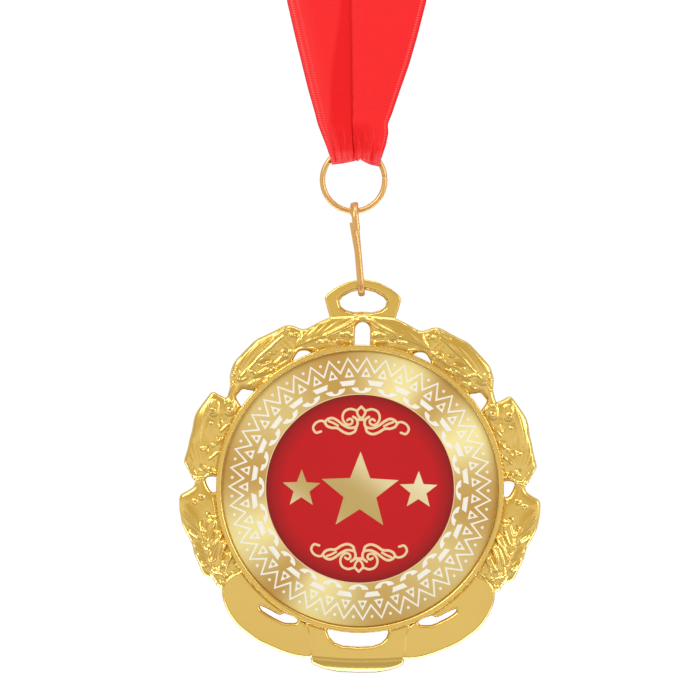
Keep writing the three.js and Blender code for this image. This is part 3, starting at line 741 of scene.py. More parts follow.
# Fine folds: a small step at the line that fades away on its left-hand side. Points, reach, height.
FOLDS = [
    ([(7.2, 27.4), (5.5, 28.6), (3.6, 29.85), (1.9, 30.85)], 0.6, 0.07),
    ([(8.7, 26.8), (7.1, 27.75), (5.4, 29.05), (3.9, 29.95)], 0.6, 0.10),
    ([(9.9, 26.2), (8.9, 26.95), (7.5, 28.2), (6.2, 29.3)], 0.6, 0.10),
    ([(11.2, 25.75), (10.3, 26.7), (8.7, 28.1), (7.65, 29.5)], 0.7, 0.14),
    ([(11.8, 25.6), (11.0, 26.5), (10.05, 27.55), (9.25, 28.6)], 0.6, 0.12),
    ([(11.5, 25.0), (10.0, 25.4), (8.0, 25.95), (5.75, 26.8), (3.8, 27.1)], 0.5, 0.12),
    ([(11.0, 24.9), (8.4, 24.95), (6.3, 25.4), (4.0, 25.55)], 0.5, 0.12),
    ([(12.0, 25.2), (10.9, 26.9), (10.9, 28.2)], 0.6, 0.16),
    ([(20.5, 21.2), (19.0, 23.1), (17.4, 24.85), (15.95, 26.25), (14.0, 27.85)], 0.55, 0.10),
    ([(21.9, 20.2), (20.8, 21.9), (19.15, 24.0), (17.4, 25.65), (15.4, 26.95)], 0.6, 0.09),
    ([(22.5, 20.0), (21.7, 21.4), (20.4, 23.3), (18.8, 25.05), (16.8, 26.45)], 0.6, 0.08),
    ([(23.0, 19.8), (22.4, 21.25), (21.45, 22.8), (20.05, 24.55), (18.4, 25.85)], 0.6, 0.10),
    ([(23.3, 20.0), (22.55, 21.8), (21.45, 23.7), (20.0, 25.1)], 0.5, 0.07),
    ([(23.4, 20.5), (22.5, 22.5), (21.5, 23.9)], 0.4, 0.06),
    ([(25.7, 15.4), (26.9, 14.0), (27.9, 12.1), (28.4, 9.7), (28.5, 7.6)], 0.9, 0.16),
    ([(28.2, 3.9), (28.8, 8.0), (28.8, 10.2), (28.2, 12.7), (27.3, 15.2)], 0.7, 0.06),
    ([(28.6, 3.4), (29.4, 6.7), (29.55, 8.6), (29.2, 11.0), (28.2, 14.0)], 0.6, 0.06),
    ([(29.15, 3.7), (30.2, 6.7), (30.2, 8.2), (29.3, 11.3)], 0.6, 0.06),
    ([(29.4, 2.6), (30.35, 4.7), (30.75, 6.0), (30.3, 7.8)], 0.4, 0.08),
    ([(26.1, 4.3), (26.5, 6.1), (26.65, 7.5), (26.35, 8.8), (25.9, 10.2)], 0.7, -0.08),
    ([(27.4, 8.6), (27.55, 10.2), (27.2, 12.1)], 0.6, 0.08),
    ([(25.65, -5.2), (25.6, -4.1), (25.9, -2.6), (26.5, -1.6)], 0.8, -0.10),
    ([(26.5, -12.4), (27.2, -9.8), (27.5, -7.9), (27.3, -6.2)], 0.5, 0.14),
    ([(28.65, -7.0), (29.7, -5.6), (31.2, -3.6)], 0.6, 0.18),
    ([(28.2, -8.0), (29.6, -6.9), (31.5, -4.7)], 0.6, 0.16),
    ([(27.5, -10.3), (28.5, -9.35), (30.8, -7.4)], 0.6, 0.18),
    ([(26.8, -12.5), (28.0, -11.7), (29.9, -10.0)], 0.6, 0.18),
    ([(26.3, -14.3), (27.4, -13.3), (28.9, -12.2)], 0.6, 0.16),
]
FOLD_GAIN = 1.5
# Rounded lobes that lie on one another: middle line, half width, how far each stands up.
LOBES = [
    ([(23.4, 14.5), (23.5, 13.4)], 0.95, 0.22),
    ([(26.1, 14.6), (26.2, 13.2)], 0.95, 0.2),
    ([(29.0, -13.0), (26.7, -15.2)], 1.2, 0.1),
    ([(26.3, -6.6), (26.7, -8.6), (27.0, -10.4)], 0.85, 0.34),
    ([(25.0, -8.6), (25.6, -10.6), (26.1, -12.6)], 0.85, 0.34),
    ([(24.2, -10.4), (25.0, -12.6), (25.4, -14.6)], 0.85, 0.34),
    ([(23.1, -12.4), (23.7, -13.6), (24.4, -14.9)], 0.75, 0.3),
    # the stem beside the corner leaf
    ([(22.4, 20.2), (22.9, 18.6), (23.0, 17.2), (23.4, 15.6)], 0.95, 0.2),
]
# Beads: place, radius, height above the metal round it, radius of the pit in it.
BEADS = [
    (11.75, 27.1, 0.5, 0.34, 0.2), (12.6, 27.1, 0.42, 0.3, 0.0), (13.45, 28.0, 0.42, 0.3, 0.0),
    (12.65, 24.15, 0.42, 0.34, 0.0), (13.72, 23.85, 0.75, 0.3, 0.36), (22.9, 20.0, 0.36, 0.3, 0.0),
    (22.95, 18.2, 0.46, 0.32, 0.2), (23.35, 13.6, 0.45, 0.34, 0.2), (26.35, 13.45, 0.5, 0.38, 0.22),
    (25.35, 8.45, 0.34, 0.3, 0.16), (26.25, 7.3, 0.34, 0.3, 0.0), (26.6, 2.8, 0.62, 0.36, 0.32),
    (26.6, 11.25, 0.3, 0.2, 0.0), (28.1, -1.95, 0.5, 0.34, 0.18), (29.3, -2.75, 0.5, 0.34, 0.18),
    (24.45, -17.2, 0.5, 0.34, 0.2), (27.55, -7.95, 0.28, 0.24, 0.0), (25.5, -16.45, 0.3, 0.24, 0.0),
    (6.9, -24.85, 0.5, 0.3, 0.0),
]

EDGE_LAP = -0.02
NO_METAL = -9.0
LEAF_LOW = 0.95
PILLOW_RISE, PILLOW_REACH = 0.42, 0.3
CROWN_RISE, CROWN_REACH = 0.12, 1.5
SEAM_DIP, SEAM_REACH = 0.22, 0.4
FOLD_EDGE = 0.045
EYELET_ROUND = 0.22
SLOT_BEVEL, SLOT_DROP = 0.5, 0.55
BANNER_BEVEL, BANNER_DROP = 0.3, 0.3
TAB_BEVEL, TAB_DROP = 0.3, 0.32
TAB_HALF_WIDTH = 8.8
TAB_BOW = 0.12
CREASE_BOW = 0.006
CREASE_GROOVE, CREASE_HALF = 0.10, 0.16
LIP_LENGTH = 2.4
BEZEL_ROUND = 0.14
BEZEL_STEP, BEZEL_STEP_WIDTH = 0.09, 0.24
WALL_DROP, WALL_SLOPE = 0.12, 4.5
NEAR_BEZEL = 0.3
RIM_ROUND = 0.26
THINNEST = 0.6
# Crumpled places on the leaves: place, reach, how strong.
CRUMPLES = [(17.5, 20.4, 2.6, 1.0), (22.5, -13.8, 2.0, 1.0), (12.6, 25.6, 2.0, 0.6), (25.2, 13.9, 2.0, 0.5)]


def round_over(depth, radius):
    """How much lower a rounded edge is, at a distance inside it."""
    share = 1 - np.clip(depth / radius, 0, 1)
    return radius * (1 - np.sqrt(np.clip(1 - share * share, 0, 1)))


def chamfer(depth, width, drop):
    """How much lower a sloping edge is, at a distance inside it, with a soft corner."""
    share = np.clip(1 - depth / width, 0, 1)
    return drop * 0.5 * (soft_step(share) + share)


def bezel_field(px, py):
    radius = np.hypot(px, py)
    return np.minimum(BEZEL_OUTER - radius, radius - BEZEL_INNER)


def top_slot_field(px, py):
    """The upright window under the eyelet: straight sides and a round top."""
    centre = TOP_SLOT_TOP - TOP_SLOT_HALF
    round_end = TOP_SLOT_HALF - np.hypot(px, np.maximum(py - centre, 0))
    return np.minimum(round_end, py - TOP_SLOT_BOTTOM)


def pierced(outline, windows, px, py):
    """How far a point is inside an outline and outside its windows."""
    field = inside_outline(outline, px, py)
    for window in windows:
        field = np.minimum(field, -inside_outline(window, px, py))
    return field


def casting_fields(px, py):
    """How far inside each part of the casting a point is; px is measured from the casting's middle line."""
    rounded_edge = smooth_line(WREATH_EDGE, 3).tolist()
    outline = [(-1, 30.9)] + rounded_edge + [(20.0, -15.0), (0, -8.0), (-1, -8.0)]
    leaf_windows = [smooth_loop(window) for window in (HALF_MOON, CORNER_WINDOW, TEAR_DROP)]
    return {
        "ground": np.minimum(pierced(outline, leaf_windows, px, py), -top_slot_field(px, py)),
        "banner": pierced(smooth_loop(BANNER, 4), [smooth_loop(LOWER_SLOT)], px, py),
        "tab": pierced(TAB, [TAB_WINDOW], px, py),
        "eyelet": pierced(EYELET, [EYELET_SLOT], px, py),
        "bezel": bezel_field(px, py),
    }


def casting_mask(fields, px, py):
    """Where there is metal outside the recess."""
    return np.minimum(np.maximum.reduce(list(fields.values())), np.hypot(px, py) - BEZEL_INNER)


def ridge_relief(px, py, line, half, rise):
    share, aside = along_line(smooth_line(line, 5), px, py)
    over = np.clip(np.abs(aside) / half, 0, 1)
    taper = np.clip(np.sin(math.pi * share), 0, 1) ** 0.35 * 0.5 + 0.5
    return rise * (1 - over ** 2) ** 1.5 * taper


def fold_relief(px, py, line, reach, rise):
    share, aside = along_line(smooth_line(line, 5), px, py)
    taper = np.clip(np.sin(math.pi * share), 0, 1) ** 0.6
    fade = np.exp(-np.clip(aside, 0, None) / reach)
    step = 1 / (1 + np.exp(-np.clip(aside / FOLD_EDGE, -30, 30)))
    beside = (share > 0) & (share < 1) & (np.abs(aside) < 4 * reach)
    return FOLD_GAIN * rise * step * fade * taper * beside


def lobe_relief(px, py, line, half, rise):
    _, aside = along_line(smooth_line(line, 5), px, py)
    return rise * soft_step(np.clip((half - np.abs(aside)) / 0.3, 0, 1))


def bead_relief(px, py, x, y, radius, rise, pit):
    gap = np.hypot(px - x, py - y)
    height = rise * np.sqrt(np.clip(1 - (gap / radius) ** 2, 0, 1))
    if pit > 0:
        height = height - (rise + 0.3) * np.exp(-(gap / pit) ** 2)
    return np.where(gap < radius, height, 0.0)


def casting_wrinkles(px, py):
    """Small folds that a casting from a worn mould has, the same on every run."""
    warp = np.sin(px * 0.8 + 1.7 * np.sin(py * 0.6)) + np.sin(py * 1.1 + 1.3 * np.sin(px * 0.7))
    fold = np.sin(px * 1.9 + 1.6 * warp) * np.sin(py * 1.7 - 1.3 * warp)
    return 0.6 * fold + 0.25 * np.sin(px * 4.3 + py * 3.1 + 2.0 * warp)


def foliage_height(px, py, ground, beyond_bezel):
    """The leaves: a low pillow inside their outline, with ribs, folds, lobes and beads on it."""
    inside = np.clip(ground, 0, None)
    height = LEAF_LOW + PILLOW_RISE * (1 - np.exp(-inside / PILLOW_REACH))
    height = height + CROWN_RISE * (1 - np.exp(-inside / CROWN_REACH))
    crumpled = sum(strong * np.exp(-((px - x) ** 2 + (py - y) ** 2) / reach ** 2)
                   for x, y, reach, strong in CRUMPLES)
    height = height + casting_wrinkles(px, py) * (0.004 + 0.045 * np.clip(crumpled, 0, 1))
    reliefs = ((lobe_relief, LOBES), (ridge_relief, RIDGES), (fold_relief, FOLDS), (bead_relief, BEADS))
    for relief, places in reliefs:
        for place in places:
            height = height + relief(px, py, *place)
    # Next to the bezel the leaves dip into a seam.
    return height - SEAM_DIP * np.exp(-(np.clip(beyond_bezel, 0, None) / SEAM_REACH) ** 2)


def tab_height(px, py, field, beyond_bezel):
    """The tab: bevelled, a little bowed across, with a lip that turns down below a crease."""
    flat = TAB_FRONT - chamfer(np.minimum(field, beyond_bezel + 0.05), TAB_BEVEL, TAB_DROP)
    crease = CREASE_OF_TAB + CREASE_BOW * px ** 2
    lip = np.clip((crease - py) / LIP_LENGTH, 0, 0.995)
    turned_down = LIP_DROP * (1 - np.sqrt(1 - lip ** 1.6))
    groove = CREASE_GROOVE * np.exp(-((py - crease + 0.1) / CREASE_HALF) ** 2)
    return flat - turned_down - groove + TAB_BOW * np.cos(px / TAB_HALF_WIDTH * math.pi)


def bezel_height(field, radius):
    """The bezel: rounded on both edges, with a lower step along its inner one."""
    step = BEZEL_STEP * np.clip(1 - (radius - BEZEL_INNER) / BEZEL_STEP_WIDTH, 0, 1)
    return BEZEL_FRONT - 0.7 * round_over(field, BEZEL_ROUND) - step


def front_height(px, py):
    """Height of the casting's front at each point."""
    fields = casting_fields(px, py)
    ground, banner, tab, eyelet, bezel = fields.values()
    radius = np.hypot(px, py)
    beyond_bezel = radius - BEZEL_OUTER
    height = np.where(ground > -0.05, foliage_height(px, py, ground, beyond_bezel), NO_METAL)
    slot_gap = -inside_outline(EYELET_SLOT, px, py)
    bar = EYELET_FRONT - 0.8 * round_over(eyelet, EYELET_ROUND) - chamfer(slot_gap, SLOT_BEVEL, SLOT_DROP)
    height = np.where(eyelet > EDGE_LAP, np.maximum(height, bar), height)
    in_banner = np.minimum(banner, beyond_bezel + 0.02)
    height = np.where(banner > EDGE_LAP, BANNER_FRONT - chamfer(in_banner, BANNER_BEVEL, BANNER_DROP), height)
    height = np.where(tab > EDGE_LAP, np.maximum(height, tab_height(px, py, tab, beyond_bezel)), height)
    height = np.where(bezel > EDGE_LAP, np.maximum(height, bezel_height(bezel, radius)), height)
    # Outside the bezel its wall slopes down to the leaves.
    wall = BEZEL_FRONT - WALL_DROP - WALL_SLOPE * beyond_bezel
    height = np.where(beyond_bezel > 0, np.maximum(height, wall), height)
    height = height - 0.8 * round_over(casting_mask(fields, px, py), RIM_ROUND)
    return np.maximum(height, BACK + THINNEST)


def softened_height(px, py):
    """The front's height with its sharp turns softened, as plating fills them."""
    middle = front_height(px, py)
    total = middle.copy()
    for dx, dy in ((SOFTEN, SOFTEN), (SOFTEN, -SOFTEN), (-SOFTEN, SOFTEN), (-SOFTEN, -SOFTEN)):
        beside = front_height(px + dx, py + dy)
        total += np.where(beside > BACK + THINNEST + 0.01, beside, middle)
    return np.where(np.hypot(px, py) > BEZEL_OUTER + NEAR_BEZEL, total / 5, middle)


def eased_loop(loop):
    """A rim loop moved a little into the metal, which lies on its left."""
    ahead = sum(np.roll(loop, -k, axis=0) - np.roll(loop, k, axis=0) for k in (1, 2, 3))
    ahead = ahead / np.maximum(np.linalg.norm(ahead, axis=1, keepdims=True), 1e-9)
    return loop + BACK_EASE * 0.8 * np.column_stack([-ahead[:, 1], ahead[:, 0]])


def casting_cells():
    """The flat cells of the casting outside the recess: points, polygons and rim loops."""
    half_xs = np.arange(0, int(GRID_HALF_WIDTH / CELL) + 1) * CELL
    ys = np.arange(GRID_LOW, GRID_HIGH, CELL) + GRID_SHIFT_Y
    px, py = np.meshgrid(half_xs, ys, indexing="ij")
    right = casting_mask(casting_fields(px, py), px, py)
    field = np.concatenate([right[:0:-1], right])
    xs = np.concatenate([-half_xs[:0:-1], half_xs]) + GRID_SHIFT_X
    return cut_cells(field, xs, ys)


def wreath_casting():
    """One closed shell: a modelled front, upright walls, a flat back and the recess for the disc."""
    flat, faces, loops = casting_cells()
    height = softened_height(np.abs(flat[:, 0] - GRID_SHIFT_X), flat[:, 1])
    points = np.column_stack([flat, height]).tolist()
    lowest = {}
    recess_loops = []
    back_loops = []

    def wall_down(loop, places, z):
        """A wall from a loop, or from the wall already under it, down to its places at a lower height."""
        above = {i: lowest.get(i, i) for i in loop}
        for i, (x, y) in zip(loop, places):
            lowest[i] = len(points)
            points.append([x, y, z])
        for a, b in pairs_round(loop):
            faces.append([above[b], above[a], lowest[a], lowest[b]])

    for loop in loops:
        radii = [math.hypot(*flat[i]) for i in loop]
        if np.ptp(radii) < 0.5 and abs(np.mean(radii) - BEZEL_INNER) < 0.3:
            wall_down(loop, flat[loop], RECESS_FLOOR)
            recess_loops.append(loop)
        else:
            wall_down(loop, flat[loop], BACK + BACK_EASE)
            wall_down(loop, eased_loop(flat[loop]), BACK)
            back_loops.append(loop)
    low_points = np.array(points)
    for loops_here, faces_front in ((recess_loops, True), (back_loops, False)):
        low_loops = [[lowest[i] for i in loop] for loop in loops_here]
        for a, b, c in fill_loops(low_points, low_loops):
            faces.append([a, b, c] if faces_front else [a, c, b])
    piece = new_object("wreath_casting", on_bench(points), faces, CAST_GOLD, crease=50)
    piece.data.materials.append(BACK_GOLD)
    for polygon in piece.data.polygons:
        if polygon.normal.y > 0.95:
            polygon.material_index = 1
    return piece


# ------------------------------------------------------------------ the printed disc
DISC_RADIUS = 24.45
DISC_LOW = 0.25
DISC_FRONT = 1.05
DISC_SIDES = 192
DISC_CREASE_RADIUS = 17.2
FILM_THICK = 0.018
FILM_LOW = DISC_FRONT - 0.01
FILM_HIGH = DISC_FRONT + FILM_THICK
ROUND_SIDES = 160
SECOND_LOW = DISC_FRONT + FILM_THICK / 2
SECOND_HIGH = DISC_FRONT + 2 * FILM_THICK
# The border: radii of the zigzag's tips and valleys, and each tooth's or motif's shape as (aside, radius).
TEETH = 43
FIRST_TIP = 180
ZIGZAG_OUTER = (23.5, 21.06)
ZIGZAG_INNER = (22.98, 20.5)
DOT_AT, DOT_RADIUS = 22.8, 0.26
TRIANGLE = [(0, 21.65), (-0.86, 19.88), (0.86, 19.88)]
HOLE_AT, HOLE_RADIUS = 20.47, 0.33
MOTIFS = 24
BAR = [(-1.46, 19.3), (1.46, 19.3), (1.02, 18.42), (-1.02, 18.42)]
CRESCENT_AT = 17.96
CRESCENT_HALF, CRESCENT_DEEP, CRESCENT_HOLE = 1.78, 0.96, 0.6
GOLD_LINE_OUT, GOLD_LINE_IN = 0.14, 0.02
# The stars: place across and up, outer and inner radius.
STARS = [(0, -0.6, 7.2, 3.05), (-10.4, -0.2, 3.5, 1.48), (10.4, -0.2, 3.5, 1.48)]


def polar(radius, degrees):
    return (radius * math.cos(math.radians(degrees)), radius * math.sin(math.radians(degrees)))


def round_spot(x, y, radius, sides=20):
    return [(x + radius * math.cos(angle), y + radius * math.sin(angle)) for angle in circle_angles(sides)]


def turned(points, degrees):
    """Points given as (aside, radius), placed at an angle round the disc."""
    c, s = math.cos(math.radians(degrees)), math.sin(math.radians(degrees))
    return [(r * c - t * s, r * s + t * c) for t, r in points]


def printed_disc():
    """A stamped metal disc with an eased edge, covered in gold foil."""
    profile = [(DISC_RADIUS - 0.15, DISC_LOW), (DISC_RADIUS, DISC_LOW + 0.12),
               (DISC_RADIUS, DISC_FRONT - 0.16), (DISC_RADIUS - 0.05, DISC_FRONT - 0.05),
               (DISC_RADIUS - 0.16, DISC_FRONT), (DISC_CREASE_RADIUS, DISC_FRONT)]
    points = [(x, y, height) for radius, height in profile for x, y in round_spot(0, 0, radius, DISC_SIDES)]
    faces = tube_faces(len(profile), DISC_SIDES)
    return new_object("printed_disc", on_bench(points), faces, foil_material(), crease=40)


def add_film(shell, outer, holes=(), low=FILM_LOW, high=FILM_HIGH):
    """One raised flat shape with a wall all round it, in the medal's bench frame."""
    loops = [list(outer)] + [list(hole) for hole in holes]
    flat = [p for loop in loops for p in loop]
    starts = np.cumsum([0] + [len(loop) for loop in loops])
    index_loops = [list(range(start, end)) for start, end in zip(starts, starts[1:])]
    triangles = fill_loops(flat, index_loops)
    count = len(flat)
    points = [(x, y, z) for z in (high, low) for x, y in flat]
    faces = [list(t) for t in triangles] + [[count + c, count + b, count + a] for a, b, c in triangles]
    for number, loop in enumerate(index_loops):
        area = sum(flat[a][0] * flat[b][1] - flat[b][0] * flat[a][1] for a, b in pairs_round(loop))
        runs_left = (area > 0) if number == 0 else (area < 0)
        for a, b in pairs_round(loop if runs_left else loop[::-1]):
            faces.append([b, a, count + a, count + b])
    shell.add(points, faces)


def film_object(name, shell, material):
    return new_object(name, on_bench(shell.points), shell.faces, material, smooth=False)


def crescent_outline():
    """A crescent that hangs from its two tips, with a half-round bite between them."""
    bite = [(-CRESCENT_HOLE * math.cos(t), CRESCENT_AT - CRESCENT_HOLE * math.sin(t))
            for t in np.linspace(0.35, math.pi - 0.35, 9)]
    belly = [(CRESCENT_HALF * math.cos(t), CRESCENT_AT - CRESCENT_DEEP * math.sin(t))
             for t in np.linspace(0.3, math.pi - 0.3, 9)]
    left = [(-CRESCENT_HALF, CRESCENT_AT), (-CRESCENT_HOLE, CRESCENT_AT)]
    right = [(CRESCENT_HOLE, CRESCENT_AT), (CRESCENT_HALF, CRESCENT_AT)]
    return left + bite + right + belly


def white_border():
    """The white folk pattern: a zigzag line, dots, pierced triangles, bars and crescents."""
    shell = Shell()
    pitch = 360 / TEETH
    tips = [FIRST_TIP + tooth * pitch for tooth in range(TEETH)]
    zigzag = [[polar(radius, tip + turn) for tip in tips for radius, turn in zip(radii, (0, pitch / 2))]
              for radii in (ZIGZAG_OUTER, ZIGZAG_INNER)]
    add_film(shell, zigzag[0], [zigzag[1]])
    for tip in tips:
        add_film(shell, round_spot(*polar(DOT_AT, tip + pitch / 2), DOT_RADIUS))
        add_film(shell, turned(TRIANGLE, tip), [round_spot(*polar(HOLE_AT, tip), HOLE_RADIUS)])
    for motif in range(MOTIFS):
        turn = 360 / MOTIFS * motif
        add_film(shell, turned(BAR, turn + 180 / MOTIFS))
        add_film(shell, turned(crescent_outline(), turn))
    return film_object("white_border_print", shell, WHITE_INK)


def red_centre():
    shell = Shell()
    add_film(shell, round_spot(0, 0, RED_RADIUS, ROUND_SIDES))
    return film_object("red_centre_print", shell, red_material())


# Strokes of one half of the scroll ornament, from its middle outwards: points and stroke width.
SCROLL = [
    ([(0.0, 2.45), (0.72, 1.6), (0.45, 0.75), (0.0, 0.35)], 0.42),
    ([(0.78, 1.72), (1.9, 2.0), (2.9, 1.6), (3.3, 0.7), (3.1, -0.2), (2.4, -0.78), (1.7, -0.62), (1.55, -0.05),
      (2.0, 0.25), (2.45, -0.02)], 0.42),
    ([(1.4, 0.62), (0.8, 0.2), (0.62, -0.55), (0.95, -1.2), (2.1, -1.35), (3.2, -0.85), (4.2, -0.1), (5.1, 0.32),
      (5.95, 0.1), (6.45, -0.5)], 0.46),
    ([(0.85, -1.35), (1.15, -2.05), (2.1, -2.42), (3.15, -2.1), (4.2, -1.45), (5.2, -1.4), (6.0, -1.1),
      (6.45, -0.5)], 0.46),
    ([(4.1, -1.0), (4.9, -0.55), (5.7, -0.25)], 0.4),
    ([(6.3, -0.35), (7.2, -0.2), (8.1, -0.65), (8.5, -1.5), (8.0, -2.3), (7.1, -2.1)], 0.42),
    ([(0.0, 0.15), (0.5, 0.12)], 0.5),
]
SCROLL_ABOVE = 12.15
SCROLL_BELOW = -12.3
SCROLL_CELL = 0.055
SCROLL_HALF_WIDTH = 9.2
SCROLL_LOW, SCROLL_HIGH = -3.1, 3.3


def scroll_film(shell, base, flip):
    """One mirrored scroll, upright when flip is 1 and upside down when it is -1."""
    xs = np.arange(-SCROLL_HALF_WIDTH, SCROLL_HALF_WIDTH, SCROLL_CELL)
    ys = np.arange(SCROLL_LOW, SCROLL_HIGH, SCROLL_CELL)
    gx, gy = np.meshgrid(xs, ys, indexing="ij")
    field = np.full(gx.shape, -1.0)
    for line, width in SCROLL:
        _, aside = along_line(smooth_line(line, 6), np.abs(gx), gy)
        field = np.maximum(field, width / 2 - np.abs(aside))
    flat, faces, loops = cut_cells(field, xs, ys)
    flat = flat * np.array([1, flip]) + np.array([0, base])
    count = len(flat)
    points = [(x, y, z) for z in (SECOND_HIGH, SECOND_LOW) for x, y in flat]
    solid = []
    for face in faces:
        front = face[::flip]
        solid.append(front)
        solid.append([count + i for i in front[::-1]])
    for loop in loops:
        for a, b in pairs_round(loop[::flip]):
            solid.append([b, a, count + a, count + b])
    shell.add(points, solid)


def gold_scrolls():
    shell = Shell()
    scroll_film(shell, SCROLL_ABOVE, 1)
    scroll_film(shell, SCROLL_BELOW, -1)
    return film_object("gold_scroll_print", shell, PALE_GOLD_INK)


def star_outline(x, y, outer, inner):
    points = []
    for corner in range(10):
        across, up = polar(inner if corner % 2 else outer, 90 + 36 * corner)
        points.append((x + across, y + up))
    return points


def gold_stars():
    """A plain award emblem: a large star between two small ones."""
    shell = Shell()
    for star in STARS:
        add_film(shell, star_outline(*star), low=SECOND_LOW, high=SECOND_HIGH)
    return film_object("gold_star_print", shell, star_material())


def gold_rim():
    """The thin gold line round the red centre."""
    shell = Shell()
    outer = round_spot(0, 0, RED_RADIUS + GOLD_LINE_OUT, ROUND_SIDES)
    inner = round_spot(0, 0, RED_RADIUS - GOLD_LINE_IN, ROUND_SIDES)
    add_film(shell, outer, [inner], high=DISC_FRONT + 1.4 * FILM_THICK)
    return film_object("gold_rim_print", shell, PALE_GOLD_INK)


# ------------------------------------------------------------------ split ring and hook link
RING_RADIUS = 5.55
RING_WIRE = 1.0
RING_STEPS = 120
RING_SIDES = 20
RING_SEAM_AT = math.radians(6)
RING_SEAM_GAP = 0.0015
RING_CUT_EASE = 0.86
LINK_TOP_BELOW_RING = 3.95
LINK_ASIDE = 0.1
LINK_LONG = 16.85
LINK_WIDE = 1.25
LINK_DEEP = 1.0
LINK_SIDES = 24
LINK_CUT_EASE = 0.92
LINK_LEAN = math.radians(-5.7)
LINK_HALF_GAP = 2.0
LINK_LAP = 1.15
STUB_LONG = 5.15
LOWER_END_BELOW = 3.65
# The stub hangs in front of this depth; below its top it stands aside, more and more over this length.
STUB_BEHIND = -2.6
STUB_ASIDE, STUB_FROM, STUB_OVER = 0.08, -1.5, 3.65
TIP_ASIDE, TIP_FROM, TIP_OVER = 0.5, -9.0, 5.3
# Over the ring the wire is drawn a little narrower and sits a little to the right.
NECK_AT, NECK_REACH, NECK_THINNER, NECK_ASIDE = -0.5, 1.1, 0.16, 0.24


def split_ring():
    """Round wire bent to a ring; its cut ends meet with a hairline gap."""
    points = []
    for step in range(RING_STEPS + 1):
        turn = RING_SEAM_AT + RING_SEAM_GAP + 2 * (math.pi - RING_SEAM_GAP) * step / RING_STEPS
        half = RING_WIRE / 2 * (RING_CUT_EASE if step in (0, RING_STEPS) else 1.0)
        for around in circle_angles(RING_SIDES):
            reach = RING_RADIUS + half * math.cos(around)
            points.append((reach * math.cos(turn), half * math.sin(around), reach * math.sin(turn)))
    faces = tube_faces(RING_STEPS + 1, RING_SIDES)
    return new_object("split_ring", above_ring(points), faces, WIRE_GOLD, crease=50)


def link_path():
    """The link's wire, middle line in its own y-z plane, z down from the link's top."""
    deep = LINK_DEEP / 2
    stub = -LINK_HALF_GAP - LINK_LAP
    top_radius = (LINK_HALF_GAP - stub) / 2
    top_middle = (LINK_HALF_GAP + stub) / 2
    top = -deep - top_radius
    low = -LINK_LONG + deep + LINK_HALF_GAP
    path = [(stub, z) for z in np.linspace(-STUB_LONG, top, 10)]
    path += [(top_middle + top_radius * math.cos(a), top + top_radius * math.sin(a))
             for a in np.linspace(math.pi, 0, 25)[1:]]
    path += [(LINK_HALF_GAP, z) for z in np.linspace(top, low, 12)[1:]]
    path += [(LINK_HALF_GAP * math.cos(a), low + LINK_HALF_GAP * math.sin(a))
             for a in np.linspace(0, -math.pi, 25)[1:]]
    path += [(-LINK_HALF_GAP, z) for z in np.linspace(low, -LOWER_END_BELOW, 12)[1:]]
    return np.array(path)


def hook_link():
    """Flattened wire: a stub in front, over the ring, down behind, round the eyelet's bar and up again."""
    path = link_path()
    ahead = np.gradient(path, axis=0)
    ahead /= np.linalg.norm(ahead, axis=1)[:, None]
    points = []
    for number, ((y, z), (ay, az)) in enumerate(zip(path, ahead)):
        eased = LINK_CUT_EASE if number in (0, len(path) - 1) else 1.0
        for around in circle_angles(LINK_SIDES):
            # A squarish section: the wire was flattened a little on its front and back.
            c, s = math.cos(around), math.sin(around)
            across = eased * LINK_WIDE / 2 * math.copysign(abs(c) ** 0.95, c)
            out = eased * LINK_DEEP / 2 * math.copysign(abs(s) ** 0.9, s)
            points.append((across, y + az * out, z - ay * out))
    x, y, z = np.array(points).T
    # The stub hangs a little straighter than the long legs, and the lower leg's tip stands out beside it.
    in_stub = y < STUB_BEHIND
    in_front_leg = (y < -LINK_DEEP) & ~in_stub
    x = x + in_stub * STUB_ASIDE * np.clip((STUB_FROM - z) / STUB_OVER, 0, 1)
    x = x - in_front_leg * TIP_ASIDE * np.clip((z - TIP_FROM) / TIP_OVER, 0, 1)
    neck = np.exp(-((z - NECK_AT) / NECK_REACH) ** 2)
    x = x * (1 - NECK_THINNER * neck) + NECK_ASIDE * neck
    lean_x = LINK_ASIDE + x * math.cos(LINK_LEAN) + z * math.sin(LINK_LEAN)
    lean_z = -x * math.sin(LINK_LEAN) + z * math.cos(LINK_LEAN)
    placed = np.column_stack([lean_x, y, lean_z - LINK_TOP_BELOW_RING])
    faces = [face[::-1] for face in tube_faces(len(path), LINK_SIDES)]
    return new_object("hook_link_wire", above_ring(placed), faces, WIRE_GOLD, crease=50)


# ------------------------------------------------------------------ the ribbon
CLOTH_THICK = 0.1
COLUMNS = 97
HANK_BOTTOM = 37.9
HANK_TOP = 86.7
RUNS = 7
RUN_PITCH = 1.15
HALF_LAYER = 0.225
EYE_BASE = 87.0
EYE_ROUTE = [(6.5, 0.8), (3.6, 1.9), (0, 3.2), (-3.2, 4.7), (-4.8, 6.6), (-5.1, 8.6), (-4.0, 11.0),
             (-1.9, 12.5), (0, 13.0), (2.2, 12.5), (4.3, 10.9), (5.6, 8.2), (6.6, 4.6), (7.3, 0.8)]
SEAM_LAP = 10.0
LAP_OFFSET = 0.16
STRAP_TOP = 37.0
STRAP_LOW = 4.4
BIGHT_LOW = 3.0
PLEAT_STEP = 0.105

